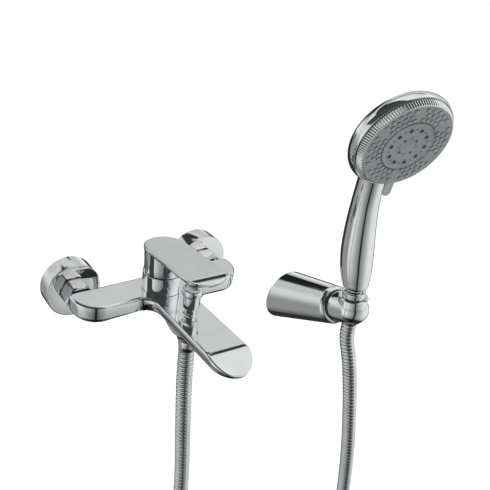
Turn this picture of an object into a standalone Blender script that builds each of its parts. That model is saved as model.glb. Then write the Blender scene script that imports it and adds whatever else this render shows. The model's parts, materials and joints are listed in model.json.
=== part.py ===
"""Wall-mounted bath mixer with a diverter, a shower hose, a swivel wall bracket and a hand shower.

The wall is the plane y = 0 and the set stands out from it towards -Y. The origin lies on the wall,
midway between the two water inlets and at their height. Lengths below are in millimetres, and every
mesh is made in metres.
"""
import math

import bmesh
import bpy
from mathutils import Matrix, Vector

MM = 0.001
GAP = 0.3  # clearance kept between neighbouring pieces

# Mixer
INLET_SPACING = 150.0
ESCUTCHEON_RADIUS = 29.0
ESCUTCHEON_DEPTH = 19.0
UNION_THREAD_RADIUS = 12.6
NUT_ACROSS_FLATS = 28.0
NUT_BACK, NUT_FRONT = -20.6, -36.4
BODY_TOP = 12.0
BODY_BACK = -38.5
BAR_FRONT = -72.5
BAR_HALF_LENGTH = 90.0
BAR_BOTTOM = -8.0
BAR_ARCH = 2.5
BAR_CORNER = 26.0
CARTRIDGE_Y = -61.5
SPOUT_HALF_WIDTH = 20.0
SPOUT_TIP_CENTRE = -169.5
SPOUT_TIP_SLOPE = 0.28
SPOUT_TIP_CURVE = 0.0125
SPOUT_BOTTOM = -3.0
TRIM_RADIUS = 19.6
TRIM_TOP = 30.4
LEVER_LIFT = math.radians(20.0)
STEM_PIVOT_Z = 18.0
LEVER_TOP_BACK = 57.6
LEVER_RISE = 0.075
LEVER_LENGTH = 78.0
LEVER_HALF_WIDTH = 20.0
LEVER_END_RISE = 9.5
LEVER_CURL = 2.6
DIVERTER_Y = -111.5
DIVERTER_KNOB_TOP = 39.4
AERATOR_Y = -165.5
OUTLET_BOTTOM = -27.2

# Bracket and hand shower
BRACKET_X = 223.0
BRACKET_Z = -91.6
ARM_RISE = math.radians(22.0)
ARM_REACH = 105.2
CONE_LENGTH = 85.0
CONE_WALL_RADIUS = 30.0
CONE_FRONT_RADIUS = 21.5
HOLDER_RADIUS = 17.5
SOCKET_LEAN = math.radians(-6.0)
SOCKET_LIP_RADIUS, SOCKET_LIP_TOP = 15.0, 17.0
SLOT_TURN = math.radians(20.0)
HANDSET_TURN = math.radians(-14.3)
HANDSET_BASE = 29.5
FACE_TILT = math.radians(13.8)
FACE_FORWARD = 39.7
FACE_HEIGHT = 177.4
FACE_RADIUS = 41.6
KNURL_RADIUS = 44.6
HEAD_RADIUS = 46.0
HEAD_FRONT = 6.4
CENTRE_RADIUS = 24.0
TAB_ANGLE = math.radians(90.0)
TAB_REACH = 13.5
TAB_HALF_WIDTH = 3.8

# Hose
HOSE_DIAMETER = 15.5
HOSE_STEP = 32.0
HOSE_IN_NUT = 11.2

CARTRIDGE = Vector((0.0, CARTRIDGE_Y, 0.0))
DIVERTER = Vector((0.0, DIVERTER_Y, 0.0))
AERATOR = Vector((0.0, AERATOR_Y, 0.0))
UP = Vector((0.0, 0.0, 1.0))
OUT = Vector((0.0, -1.0, 0.0))
ARM = Vector((0.0, -math.cos(ARM_RISE), math.sin(ARM_RISE)))
BRACKET = Vector((BRACKET_X, 0.0, BRACKET_Z))
SOCKET = BRACKET + ARM_REACH * ARM


# ---------------------------------------------------------------- scene and materials

def clear_scene():
    for obj in list(bpy.data.objects):
        bpy.data.objects.remove(obj, do_unlink=True)


def principled(name, colour, metallic, roughness, alpha=1.0):
    mat = bpy.data.materials.new(name)
    mat.use_nodes = True
    shader = mat.node_tree.nodes["Principled BSDF"]
    shader.inputs["Base Color"].default_value = (*colour, 1.0)
    shader.inputs["Metallic"].default_value = metallic
    shader.inputs["Roughness"].default_value = roughness
    shader.inputs["Alpha"].default_value = alpha
    mat.diffuse_color = (*colour, alpha)
    return mat


FINISHES = {
    "chrome": ((0.82, 0.83, 0.85), 1.0, 0.06),
    "steel": ((0.62, 0.62, 0.64), 1.0, 0.3),
    "brass": ((0.78, 0.60, 0.28), 1.0, 0.32),
    "rubber": ((0.03, 0.03, 0.03), 0.0, 0.6),
    "ceramic": ((0.9, 0.9, 0.88), 0.0, 0.25),
    "white_plastic": ((0.85, 0.85, 0.83), 0.0, 0.4),
    "black_plastic": ((0.02, 0.02, 0.02), 0.0, 0.4),
    "grey_plastic": ((0.42, 0.43, 0.44), 0.0, 0.4),
    "clear_plastic": ((0.6, 0.62, 0.64), 0.0, 0.2, 0.6),
}


# ---------------------------------------------------------------- mesh helpers

def link(name, bm, finish, origin=(0.0, 0.0, 0.0), parent=None):
    """Turn a mesh in world millimetres into an object in metres with its origin at the given point."""
    bmesh.ops.recalc_face_normals(bm, faces=bm.faces)
    origin = Vector(origin)
    bmesh.ops.transform(bm, matrix=Matrix.Scale(MM, 4) @ Matrix.Translation(-origin), verts=bm.verts)
    mesh = bpy.data.meshes.new(name)
    bm.to_mesh(mesh)
    bm.free()
    obj = bpy.data.objects.new(name, mesh)
    obj.location = origin * MM
    bpy.context.scene.collection.objects.link(obj)
    if finish:
        mesh.materials.append(principled(name + "_finish", *FINISHES[finish]))
        smooth(obj)
    if parent:
        obj.parent = parent
        obj.matrix_parent_inverse = Matrix.Translation(-parent.location)
    return obj


def smooth(obj, angle=32.0):
    obj.data.shade_smooth()
    obj.data.set_sharp_from_angle(angle=math.radians(angle))


def pivot(name, origin):
    """An empty on a joint's axis, which the moving pieces are parented to."""
    empty = bpy.data.objects.new(name, None)
    empty.location = Vector(origin) * MM
    bpy.context.scene.collection.objects.link(empty)
    return empty


def aim(origin, direction):
    """A matrix that puts local +Z along direction, at origin."""
    turn = UP.rotation_difference(Vector(direction)).to_matrix().to_4x4()
    return Matrix.Translation(Vector(origin)) @ turn


def lathe(profile, place, segments=24):
    """Revolve (radius, height) points about local Z. Off-axis ends close into a ring."""
    bm = bmesh.new()
    rings = []
    for radius, height in profile:
        if radius < 1e-6:
            rings.append([bm.verts.new((0.0, 0.0, height))])
            continue
        angles = [2 * math.pi * k / segments for k in range(segments)]
        rings.append([bm.verts.new((radius * math.cos(a), radius * math.sin(a), height)) for a in angles])
    pairs = list(zip(rings, rings[1:]))
    if len(rings[0]) > 1:
        pairs.append((rings[-1], rings[0]))
    for low, high in pairs:
        bridge(bm, low, high)
    bmesh.ops.transform(bm, matrix=place, verts=bm.verts)
    return bm


def bridge(bm, low, high):
    count = max(len(low), len(high))
    for k in range(count):
        after = (k + 1) % count
        corners = [low[k % len(low)], low[after % len(low)]]
        corners += [high[after % len(high)], high[k % len(high)]]
        unique = list(dict.fromkeys(corners))
        if len(unique) > 2:
            bm.faces.new(unique)


def loft(loops):
    """Join closed loops of equal length, and cap both ends."""
    bm = bmesh.new()
    rings = [[bm.verts.new(point) for point in loop] for loop in loops]
    for low, high in zip(rings, rings[1:]):
        bridge(bm, low, high)
    bm.faces.new(list(reversed(rings[0])))
    bm.faces.new(rings[-1])
    return bm


def prism(outline, place, low, high):
    """Extrude a flat (x, y) outline along local Z."""
    bm = loft([[(x, y, low) for x, y in outline], [(x, y, high) for x, y in outline]])
    bmesh.ops.transform(bm, matrix=place, verts=bm.verts)
    return bm


def box(low, high, place=Matrix.Identity(4)):
    (x0, y0, z0), (x1, y1, z1) = low, high
    return prism([(x0, y0), (x1, y0), (x1, y1), (x0, y1)], place, z0, z1)


def rod(start, end, radius, segments=16):
    start, end = Vector(start), Vector(end)
    length = (end - start).length
    return lathe([(0, 0), (radius, 0), (radius, length), (0, length)], aim(start, end - start), segments)


def tube(outer, inner, low, high):
    return [(outer, low), (outer, high), (inner, high), (inner, low)]


def hexagon(across_flats):
    corner = across_flats / math.sqrt(3)
    angles = [math.radians(60 * k) for k in range(6)]
    return [(corner * math.cos(angle), corner * math.sin(angle)) for angle in angles]


def triangulate(mesh):
    bm = bmesh.new()
    bm.from_mesh(mesh)
    bmesh.ops.remove_doubles(bm, verts=bm.verts, dist=0.002 * MM)
    bmesh.ops.triangulate(bm, faces=bm.faces)
    bm.to_mesh(mesh)
    bm.free()


def combine(obj, bm, operation):
    """Apply one boolean with a temporary tool made from bm, and remove the tool."""
    tool = link("tool", bm, None)
    triangulate(obj.data)
    triangulate(tool.data)
    modifier = obj.modifiers.new("combine", "BOOLEAN")
    modifier.object = tool
    modifier.operation = operation
    modifier.solver = "EXACT"
    bpy.context.view_layer.update()
    evaluated = obj.evaluated_get(bpy.context.evaluated_depsgraph_get())
    result = bpy.data.meshes.new_from_object(evaluated)
    obj.modifiers.clear()
    materials = list(obj.data.materials)
    old = obj.data
    obj.data = result
    bpy.data.meshes.remove(old)
    bpy.data.objects.remove(tool, do_unlink=True)
    obj.data.name = obj.name
    if materials and not obj.data.materials:
        obj.data.materials.append(materials[0])
    smooth(obj)


def cut(obj, bm):
    combine(obj, bm, "DIFFERENCE")


def add(obj, bm):
    combine(obj, bm, "UNION")


# ---------------------------------------------------------------- water inlets

def make_inlets():
    for side, label in ((-1, "left"), (1, "right")):
        axis = Vector((side * INLET_SPACING / 2, 0.0, 0.0))
        along = aim(axis, OUT)
        make_s_union(label, axis)
        rim, depth = ESCUTCHEON_RADIUS, ESCUTCHEON_DEPTH
        cup = [(rim, 0), (rim, depth - 0.8), (rim - 0.8, depth), (UNION_THREAD_RADIUS + GAP, depth),
               (UNION_THREAD_RADIUS + GAP, depth - 1.4), (rim - 1.4, depth - 1.4), (rim - 1.4, 0)]
        link(f"escutcheon_{label}", lathe(cup, along, 30), "chrome", axis)
        make_union_nut(label, axis, along)
        washer = tube(12.0, 5.6, 27.9, 29.6)
        link(f"inlet_washer_{label}", lathe(washer, along, 16), "rubber", axis)
        connector = [(12.2, 29.9), (12.2, 32.2), (6.9, 32.2), (6.9, 46.5), (5.0, 46.5), (5.0, 29.9)]
        link(f"inlet_connector_{label}", lathe(connector, along, 14), "brass", axis)
        valve = [(4.7, 31.0), (4.7, 44.0), (3.2, 44.0), (3.2, 36.0), (1.6, 36.0), (1.6, 31.0)]
        link(f"check_valve_{label}", lathe(valve, along, 10), "white_plastic", axis)


def make_s_union(label, axis):
    """A brass tail whose wall thread sits 6 mm below its union thread."""
    drop = Vector((0, 0, -6))
    union = link(f"s_union_{label}", rod(axis + 3.0 * OUT, axis + 27.6 * OUT, UNION_THREAD_RADIUS, 24),
                 "brass", axis)
    add(union, rod(axis + drop - 14.0 * OUT, axis + drop + 6.0 * OUT, 10.2, 20))
    cut(union, rod(axis + drop - 15.0 * OUT, axis + drop + 10.0 * OUT, 6.0, 14))
    cut(union, rod(axis + 8.0 * OUT, axis + 29.0 * OUT, 7.4, 14))


def make_union_nut(label, axis, along):
    """A hexagon with its outer edges turned off, a threaded bore and a front lip."""
    back, front = -NUT_BACK, -NUT_FRONT
    nut = link(f"union_nut_{label}", prism(hexagon(NUT_ACROSS_FLATS), along, back, front), "chrome", axis)
    corner = NUT_ACROSS_FLATS / math.sqrt(3)
    keep = [(0, back - 1), (corner + 1, back - 1), (corner + 1, front - 3.0), (corner - 2.2, front),
            (corner - 2.2, front + 1), (0, front + 1)]
    combine(nut, lathe(keep, along, 24), "INTERSECT")
    cut(nut, rod(axis + (back - 1) * OUT, axis + (front - 3.6) * OUT, UNION_THREAD_RADIUS + GAP, 24))
    cut(nut, rod(axis + (front - 5) * OUT, axis + (front + 2) * OUT, 7.3, 20))


# ---------------------------------------------------------------- mixer body

def rounded_bar(inset, height):
    """The bar's outline seen from above: wide front corners and tight back corners."""
    half = BAR_HALF_LENGTH - inset
    front, back = BAR_FRONT + inset, BODY_BACK - inset
    points = []
    wide, tight = BAR_CORNER - inset, 3.0
    corners = ((1, front, wide, -90), (1, back, tight, 0), (-1, back, tight, 90), (-1, front, wide, 180))
    for side, y_edge, radius, start in corners:
        centre_x = side * (half - radius)
        centre_y = y_edge + radius if y_edge == front else y_edge - radius
        steps = 8 if y_edge == front else 3
        for k in range(steps + 1):
            angle = math.radians(start + 90 * k / steps)
            x = centre_x + radius * math.cos(angle)
            points.append((x, centre_y + radius * math.sin(angle), height + arch(x, height)))
    return points


def arch(x, height):
    """How far the underside rises towards the middle of the bar."""
    share = min(1.0, max(0.0, (2.0 - height) / (2.0 - BAR_BOTTOM)))
    return share * BAR_ARCH * max(0.0, 1.0 - (x / 75.0) ** 2)


def spout_section(y):
    """Half-widths of the top edge and of the widest line, and the top and bottom heights, at y."""
    width, top, bottom = SPOUT_HALF_WIDTH, BODY_TOP, SPOUT_BOTTOM
    root = BAR_FRONT + 4.0 - y
    if root < 22.0:
        width += 13.0 * (1.0 - math.sqrt(max(0.0, 1.0 - (1.0 - max(root, 0.0) / 22.0) ** 2)))
    beyond = SPOUT_TIP_CENTRE - y
    if beyond > 0:
        share = min(beyond / SPOUT_HALF_WIDTH, 0.995)
        width *= math.sqrt(1.0 - share ** 2)
        top -= SPOUT_TIP_SLOPE * beyond + SPOUT_TIP_CURVE * beyond ** 2
        bottom += 1.0 * share
    return width, top, bottom


SPOUT_SIDE = (  # share of the width, share of the depth, from the top edge down
    (0.915, 0.0), (0.98, 0.06), (1.0, 0.18), (0.93, 0.42), (0.72, 0.88), (0.6, 1.0),
)


def spout_loop(y):
    width, top, bottom = spout_section(y)
    half = [(x * width, top - depth * (top - bottom)) for x, depth in SPOUT_SIDE]
    return [(x, y, z) for x, z in half] + [(-x, y, z) for x, z in reversed(half)]


def make_body():
    levels = ((2.6, BODY_TOP), (1.1, 11.5), (0.2, 10.0), (0.0, 7.5), (0.5, -1.5), (2.0, -5.0), (4.6, -7.2),
              (7.5, BAR_BOTTOM))
    bar = loft([rounded_bar(inset, height) for inset, height in levels])
    body = link("faucet_body", bar, "chrome", CARTRIDGE)
    stations = [-60.0, -69.0, -72.5, -76.0, -80.0, -85.0, -91.0, -120.0, SPOUT_TIP_CENTRE]
    for degrees in (15, 30, 45, 60, 72, 82):
        stations.append(SPOUT_TIP_CENTRE - SPOUT_HALF_WIDTH * math.sin(math.radians(degrees)))
    add(body, loft([spout_loop(y) for y in stations]))
    boss = [(0, 4.0), (24.0, 4.0), (22.0, 0.0), (16.5, -4.0), (12.6, -8.0), (10.6, -12.0), (9.6, -15.4),
            (6.6, -15.4), (6.6, -23.0), (0, -23.0)]
    neck = lathe(boss, Matrix.Translation(DIVERTER), 32)
    limit = SPOUT_HALF_WIDTH - 2.5
    for vert in neck.verts:
        if vert.co.z > -3.0:
            vert.co.x = max(-limit, min(limit, vert.co.x))
    add(body, neck)
    add(body, lathe([(0, 2.0), (17.8, 2.0), (17.8, 27.0), (0, 27.0)], Matrix.Translation(CARTRIDGE), 36))
    hollow_body(body)


def hollow_body(body):
    """The cartridge seat, the water ways, the diverter chamber, the aerator seat and the inlet bores."""
    seat_floor = 3.2
    cut(body, rod(CARTRIDGE + seat_floor * UP, CARTRIDGE + 28.0 * UP, 14.4, 32))
    for side in (-1, 1):
        inlet = Vector((side * INLET_SPACING / 2, BODY_BACK, 0.0))
        cut(body, rod(inlet - 1.0 * OUT, inlet + 8.4 * OUT, 7.2, 20))
        cut(body, rod(inlet + 8.0 * OUT, inlet + 24.5 * OUT, 4.0, 12))
        far = Vector((side * INLET_SPACING / 2, CARTRIDGE_Y + 3.0, 0.0))
        near = Vector((side * 7.0, CARTRIDGE_Y + 3.0, 0.0))
        cut(body, rod(far, near, 3.4, 12))
        cut(body, rod(near, near + (seat_floor + 1.0) * UP, 2.9, 12))
    mixed = CARTRIDGE + Vector((0, -8.0, 0))
    cut(body, rod(mixed + seat_floor * UP + UP, mixed - UP, 2.9, 12))
    cut(body, rod(mixed - 0.4 * UP, DIVERTER - 0.4 * UP, 3.3, 12))
    chamber = [(0, 13.0), (7.2, 13.0), (7.2, 4.0), (8.2, 4.0), (8.2, -13.0), (4.6, -14.0), (4.6, -24.0),
               (0, -24.0)]
    cut(body, lathe(chamber, Matrix.Translation(DIVERTER), 24))
    cut(body, rod(DIVERTER + 4.5 * UP, AERATOR + 4.5 * UP, 3.6, 12))
    seat = [(0, -6.0), (11.3, -6.0), (11.3, 4.4), (8.4, 4.4), (8.4, 7.6), (0, 7.6)]
    cut(body, lathe(seat, Matrix.Translation(AERATOR), 28))


# ---------------------------------------------------------------- cartridge

def ported_disc(name, radius, low, high, finish):
    disc = link(name, rod(CARTRIDGE + low * UP, CARTRIDGE + high * UP, radius, 24), finish, CARTRIDGE)
    for x, y in ((-7.0, 3.0), (7.0, 3.0), (0.0, -8.0)):
        port = CARTRIDGE + Vector((x, y, 0))
        cut(disc, rod(port + (low - 1) * UP, port + (high + 1) * UP, 2.6, 10))
    return disc


def make_cartridge():
    here = Matrix.Translation(CARTRIDGE)
    ported_disc("cartridge_seal", 13.8, 3.5, 5.0, "rubber")
    ported_disc("ceramic_fixed_disc", 12.0, 5.3, 8.3, "ceramic")
    housing = [(14.1, 5.3), (14.1, 22.0), (8.9, 22.0), (8.9, 19.6), (12.3, 19.6), (12.3, 5.3)]
    link("cartridge_housing", lathe(housing, here, 20), "white_plastic", CARTRIDGE)
    nut = [(14.1, 22.3), (14.1, 27.4), (9.6, 27.4), (9.6, 22.3)]
    link("retaining_nut", lathe(nut, here, 24), "brass", CARTRIDGE)
    trim = [(TRIM_RADIUS, BODY_TOP + GAP), (TRIM_RADIUS, TRIM_TOP - 0.8), (TRIM_RADIUS - 0.8, TRIM_TOP),
            (11.5, TRIM_TOP), (11.5, TRIM_TOP - 1.4), (18.1, TRIM_TOP - 1.4), (18.1, BODY_TOP + GAP)]
    link("trim_ring", lathe(trim, here, 36), "chrome", CARTRIDGE)


def make_turret():
    """The part of the cartridge that turns with the lever and carries the stem's pin."""
    base = pivot("turn_axis", CARTRIDGE)
    here = Matrix.Translation(CARTRIDGE)
    profile = [(0, 14.4), (11.9, 14.4), (11.9, 19.3), (8.5, 19.3), (8.5, 24.0), (0, 24.0)]
    turret = link("cartridge_turret", lathe(profile, here, 24), "black_plastic", CARTRIDGE, base)
    cut(turret, box((-4.4, CARTRIDGE_Y - 6.6, 13.0), (4.4, CARTRIDGE_Y + 6.6, 25.0)))
    pin_at = CARTRIDGE + STEM_PIVOT_Z * UP
    bore, pin = Vector((13.0, 0.0, 0.0)), Vector((8.2, 0.0, 0.0))
    cut(turret, rod(pin_at - bore, pin_at + bore, 1.8, 12))
    link("stem_pin", rod(pin_at - pin, pin_at + pin, 1.5, 12), "steel", pin_at, base)
    carrier = [(3.9, 11.1), (9.2, 11.1), (9.2, 13.4), (3.9, 13.4)]
    link("disc_carrier", lathe(carrier, here, 20), "white_plastic", CARTRIDGE, base)
    moving = rod(CARTRIDGE + 8.6 * UP, CARTRIDGE + 10.8 * UP, 8.6, 20)
    disc = link("ceramic_moving_disc", moving, "ceramic", CARTRIDGE, base)
    cut(disc, box((-6.0, CARTRIDGE_Y - 5.0, 8.0), (6.0, CARTRIDGE_Y + 1.0, 9.8)))


# ---------------------------------------------------------------- lever

def lever_top(y):
    return LEVER_TOP_BACK - LEVER_RISE * (y - CARTRIDGE_Y)


def lever_outline(offset=0.0, count=14):
    """The paddle seen from above: round over the cartridge, straight sides and a shallow round end."""
    width = LEVER_HALF_WIDTH - offset
    end = -(LEVER_LENGTH - offset)
    points = [(width * math.cos(math.pi * k / count), width * math.sin(math.pi * k / count))
              for k in range(count + 1)]
    tip_width = width - 1.0
    for k in range(count + 1):
        angle = math.pi * k / count
        points.append((-tip_width * math.cos(angle), end + LEVER_END_RISE * (1.0 - math.sin(angle))))
    return points


def make_lever():
    """The paddle with its hollow skirt, the socket for the stem and the screw that holds the two."""
    axis = CARTRIDGE + STEM_PIVOT_Z * UP
    base = pivot("lift_axis", axis)
    loops = []
    for drop, inset in ((4.6, 1.0), (0.9, 0.0), (0.2, 0.25), (0.0, 0.9)):
        loop = []
        for x, y in lever_outline(inset):
            past = max(0.0, (-y - (LEVER_LENGTH - LEVER_END_RISE)) / LEVER_END_RISE)
            loop.append((x, CARTRIDGE_Y + y, lever_top(CARTRIDGE_Y + y) - drop - LEVER_CURL * past ** 2))
        loops.append(loop)
    lever = link("lever_handle", loft(loops), "chrome", axis, base)
    skirt = [(0, 28.0), (18.6, 28.0), (19.4, 54.0), (0, 54.0)]
    add(lever, lathe(skirt, Matrix.Translation(CARTRIDGE), 48))
    hollow = [(0, 27.0), (16.6, 27.0), (16.9, 48.5), (0, 48.5)]
    cut(lever, lathe(hollow, Matrix.Translation(CARTRIDGE), 32))
    add(lever, rod(CARTRIDGE + 36.5 * UP, CARTRIDGE + 50.0 * UP, 8.0, 18))
    half = 4.0 + GAP
    cut(lever, box((-half, CARTRIDGE_Y - half, 30.0), (half, CARTRIDGE_Y + half, 46.3)))
    trim_lever_bottom(lever)
    screw_at = CARTRIDGE + Vector((0, 0, 42.0))
    cut(lever, rod(screw_at - 3.0 * OUT, screw_at - 22.0 * OUT, 2.3, 12))
    cut(lever, rod(screw_at - 17.6 * OUT, screw_at - 22.0 * OUT, 3.4, 16))
    screw = rod(screw_at - 4.5 * OUT, screw_at - 15.0 * OUT, 2.0, 12)
    link("lever_set_screw", screw, "steel", screw_at, base)
    plug = rod(screw_at - 17.9 * OUT, screw_at - 19.6 * OUT, 3.1, 16)
    link("index_plug", plug, "grey_plastic", screw_at, base)
    make_stem(axis, base)


def trim_lever_bottom(lever):
    """Cut the skirt flat in front, and slope it at the back so that it clears the trim ring when lifted."""
    reach = 40.0
    flat = TRIM_TOP + 0.4
    rise = flat - STEM_PIVOT_Z
    start = (rise * math.cos(LEVER_LIFT) - rise + 0.1) / math.sin(LEVER_LIFT)
    bend, front, back = CARTRIDGE_Y + start, CARTRIDGE_Y - reach, CARTRIDGE_Y + reach
    raised = flat + math.tan(LEVER_LIFT) * (back - bend)
    outline = [(front, flat), (bend, flat), (back, raised), (back, 10.0), (front, 10.0)]
    place = Matrix(((0, 0, 1, 0), (1, 0, 0, 0), (0, 1, 0, 0), (0, 0, 0, 1)))
    cut(lever, prism(outline, place, -reach, reach))


def make_stem(axis, base):
    """A square rod with a round foot in the disc carrier and a hole for its pin."""
    square = box((-4, CARTRIDGE_Y - 4, 15.2), (4, CARTRIDGE_Y + 4, 46.0))
    stem = link("lever_stem", square, "steel", axis, base)
    add(stem, rod(CARTRIDGE + 11.6 * UP, CARTRIDGE + 15.8 * UP, 3.0, 14))
    cut(stem, rod(axis - Vector((6, 0, 0)), axis + Vector((6, 0, 0)), 1.8, 12))


# ---------------------------------------------------------------- diverter, aerator and hose end

def make_diverter():
    origin = DIVERTER + BODY_TOP * UP
    base = pivot("diverter_axis", origin)
    here = Matrix.Translation(DIVERTER)
    top = DIVERTER_KNOB_TOP
    knob = [(0, top), (8.3, top), (9.1, top - 0.8), (9.1, top - 6.4), (8.0, top - 7.2), (7.7, top - 7.8),
            (7.7, 20.6), (6.4, 18.5), (2.7, 18.5), (2.7, 31.0), (0, 31.0)]
    link("diverter_knob", lathe(knob, here, 24), "chrome", origin, base)
    spindle = [(0, 30.6), (2.4, 30.6), (2.4, -10.9), (6.8, -10.9), (6.8, -12.4), (0, -12.4)]
    link("diverter_spindle", lathe(spindle, here, 16), "brass", origin, base)
    seal = tube(7.9, 7.1, -12.2, -11.1)
    link("diverter_seal", lathe(seal, here, 20), "rubber", origin, base)
    bonnet = [(2.7, 4.2), (6.9, 4.2), (6.9, BODY_TOP + 1.0), (6.3, 13.3), (5.2, 13.3), (5.2, 18.2),
              (2.7, 18.2)]
    link("diverter_bonnet", lathe(bonnet, here, 24), "chrome", DIVERTER)
    make_spring(DIVERTER, 3.7, -10.3)


def make_spring(centre, top, bottom):
    """A round-wire coil about the diverter spindle."""
    radius, wire, turns, steps = 4.6, 0.45, 4, 11
    curve = bpy.data.curves.new("diverter_spring", "CURVE")
    curve.dimensions = "3D"
    curve.bevel_depth = wire * MM
    curve.bevel_resolution = 0
    curve.use_fill_caps = True
    spline = curve.splines.new("POLY")
    count = turns * steps + 1
    spline.points.add(count - 1)
    for k in range(count):
        angle = 2 * math.pi * k / steps
        z = bottom + wire + (top - bottom - 2 * wire) * k / (count - 1)
        spline.points[k].co = (radius * math.cos(angle) * MM, radius * math.sin(angle) * MM, z * MM, 1.0)
    curve.materials.append(principled("diverter_spring_finish", *FINISHES["steel"]))
    obj = bpy.data.objects.new("diverter_spring", curve)
    obj.location = centre * MM
    bpy.context.scene.collection.objects.link(obj)


def make_aerator():
    here = Matrix.Translation(AERATOR)
    housing = [(11.0, 1.8), (11.0, -6.6), (10.4, -7.2), (9.5, -7.2), (9.5, 1.8)]
    link("aerator_housing", lathe(housing, here, 24), "chrome", AERATOR)
    insert = rod(AERATOR - 6.4 * UP, AERATOR + 1.0 * UP, 9.2, 24)
    link("aerator_insert", insert, "grey_plastic", AERATOR)
    link("aerator_seal", lathe(tube(10.8, 8.0, 2.1, 4.1), here, 24), "rubber", AERATOR)


def make_hose_union():
    here = Matrix.Translation(DIVERTER)
    nut = [(8.1, -15.7), (8.3, -17.0), (8.3, -21.5), (7.9, -24.5), (7.3, OUTLET_BOTTOM),
           (3.4, OUTLET_BOTTOM), (3.4, -24.9), (6.9, -24.9), (6.9, -15.7)]
    link("hose_union_nut", lathe(nut, here, 20), "chrome", DIVERTER)
    link("hose_washer", lathe(tube(6.4, 3.6, -24.6, -23.3), here, 16), "rubber", DIVERTER)


# ---------------------------------------------------------------- hose

def socket_place():
    """The socket's own frame: +Z up its axis, turned a little from upright about the arm."""
    return Matrix.Translation(SOCKET) @ Matrix.Rotation(SOCKET_LEAN, 4, -ARM)


def hose_route():
    """From the outlet down, round one wide hanging bend and up into the nut in the socket."""
    left_leg = ((0.0, DIVERTER_Y, OUTLET_BOTTOM - GAP), (1.0, DIVERTER_Y, -66.0), (5.0, DIVERTER_Y, -125.0),
                (10.5, DIVERTER_Y, -200.0), (13.0, -111.5, -285.0), (15.0, -112.0, -380.0))
    bend = ((26.0, -113.0, -478.0), (66.0, -115.0, -562.0), (140.0, -117.0, -600.0), (214.0, -119.0, -562.0),
            (252.0, -121.0, -478.0))
    right_leg = ((262.0, -121.0, -380.0), (256.0, -117.0, -285.0), (246.0, -110.0, -200.0),
                 (236.0, -103.0, -135.0))
    heights = (-42.0, -18.0, HOSE_IN_NUT)
    into_nut = tuple(tuple(socket_place() @ Vector((0, 0, height))) for height in heights)
    return left_leg + bend + right_leg + into_nut


def smooth_route(points, step):
    """A Catmull-Rom curve through the points, straight at both ends, read at even steps."""
    first, last = Vector(points[0]), Vector(points[-1])
    beyond = 2.0 * last - Vector(points[-2])
    knots = [first + 40.0 * UP] + [Vector(point) for point in points] + [beyond]
    fine = []
    for before, start, end, after in zip(knots, knots[1:], knots[2:], knots[3:]):
        for k in range(40):
            t = k / 40
            bend = 2 * before - 5 * start + 4 * end - after
            twist = 3 * start - before - 3 * end + after
            fine.append(0.5 * (2 * start + (end - before) * t + bend * t ** 2 + twist * t ** 3))
    fine.append(last)
    lengths = [0.0]
    for a, b in zip(fine, fine[1:]):
        lengths.append(lengths[-1] + (b - a).length)
    count = round(lengths[-1] / step)
    even, index = [], 0
    for k in range(count + 1):
        target = lengths[-1] * k / count
        while index < len(lengths) - 2 and lengths[index + 1] < target:
            index += 1
        span = lengths[index + 1] - lengths[index]
        even.append(fine[index].lerp(fine[index + 1], (target - lengths[index]) / span))
    return even


def make_hose():
    route = smooth_route(hose_route(), HOSE_STEP)
    curve = bpy.data.curves.new("shower_hose", "CURVE")
    curve.dimensions = "3D"
    curve.bevel_depth = HOSE_DIAMETER / 2 * MM
    curve.bevel_resolution = 3
    curve.use_fill_caps = True
    spline = curve.splines.new("POLY")
    spline.points.add(len(route) - 1)
    for point, place in zip(spline.points, route):
        point.co = (*(place * MM), 1.0)
    curve.materials.append(principled("shower_hose_finish", *FINISHES["chrome"]))
    obj = bpy.data.objects.new("shower_hose", curve)
    bpy.context.scene.collection.objects.link(obj)


# ---------------------------------------------------------------- wall bracket

def make_bracket():
    """A hollow tapered arm that rises from the wall, with its wall end cut flush."""
    along = aim(BRACKET, ARM)
    end, front = CONE_LENGTH, CONE_FRONT_RADIUS
    slope = (CONE_WALL_RADIUS - front) / end
    back = CONE_WALL_RADIUS + 20.0 * slope
    cone = [(back, -20.0), (front, end - 4.0), (front - 1.3, end - 1.3), (front - 3.6, end), (2.9, end),
            (2.9, end - 9.0), (15.0, end - 9.0), (front - 2.6, end - 18.0), (back - 2.6, -20.0)]
    base = link("bracket_base", lathe(cone, along, 36), "chrome", BRACKET)
    beyond_wall = 60.0
    low = BRACKET - Vector((beyond_wall, 0.0, beyond_wall))
    cut(base, box(low, BRACKET + Vector((beyond_wall, beyond_wall, beyond_wall))))
    hole = BRACKET + 5.0 * OUT
    cut(base, rod(hole - 40.0 * UP, hole - 20.0 * UP, 2.0, 12))
    link("bracket_set_screw", rod(hole - 30.0 * UP, hole - 23.4 * UP, 1.7, 10), "steel", hole)
    disc = rod(BRACKET + 0.2 * OUT, BRACKET + 9.0 * OUT, 22.5, 24)
    plate = link("bracket_wall_plate", disc, "steel", BRACKET)
    for sign, label in ((1, "upper"), (-1, "lower")):
        at = BRACKET + sign * Vector((8.5, 0.0, 8.5))
        cut(plate, rod(at - OUT, at + 11.0 * OUT, 2.7, 12))
        screw = [(0, -18.0), (2.3, -16.0), (2.3, 9.3), (4.4, 9.3), (3.6, 11.8), (0, 11.8)]
        link(f"wall_screw_{label}", lathe(screw, aim(at, OUT), 12), "steel", at)
    ring = tube(HOLDER_RADIUS + 0.6, 2.9, end + GAP, end + 2.4)
    link("swivel_ring", lathe(ring, along, 28), "black_plastic", BRACKET)


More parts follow.
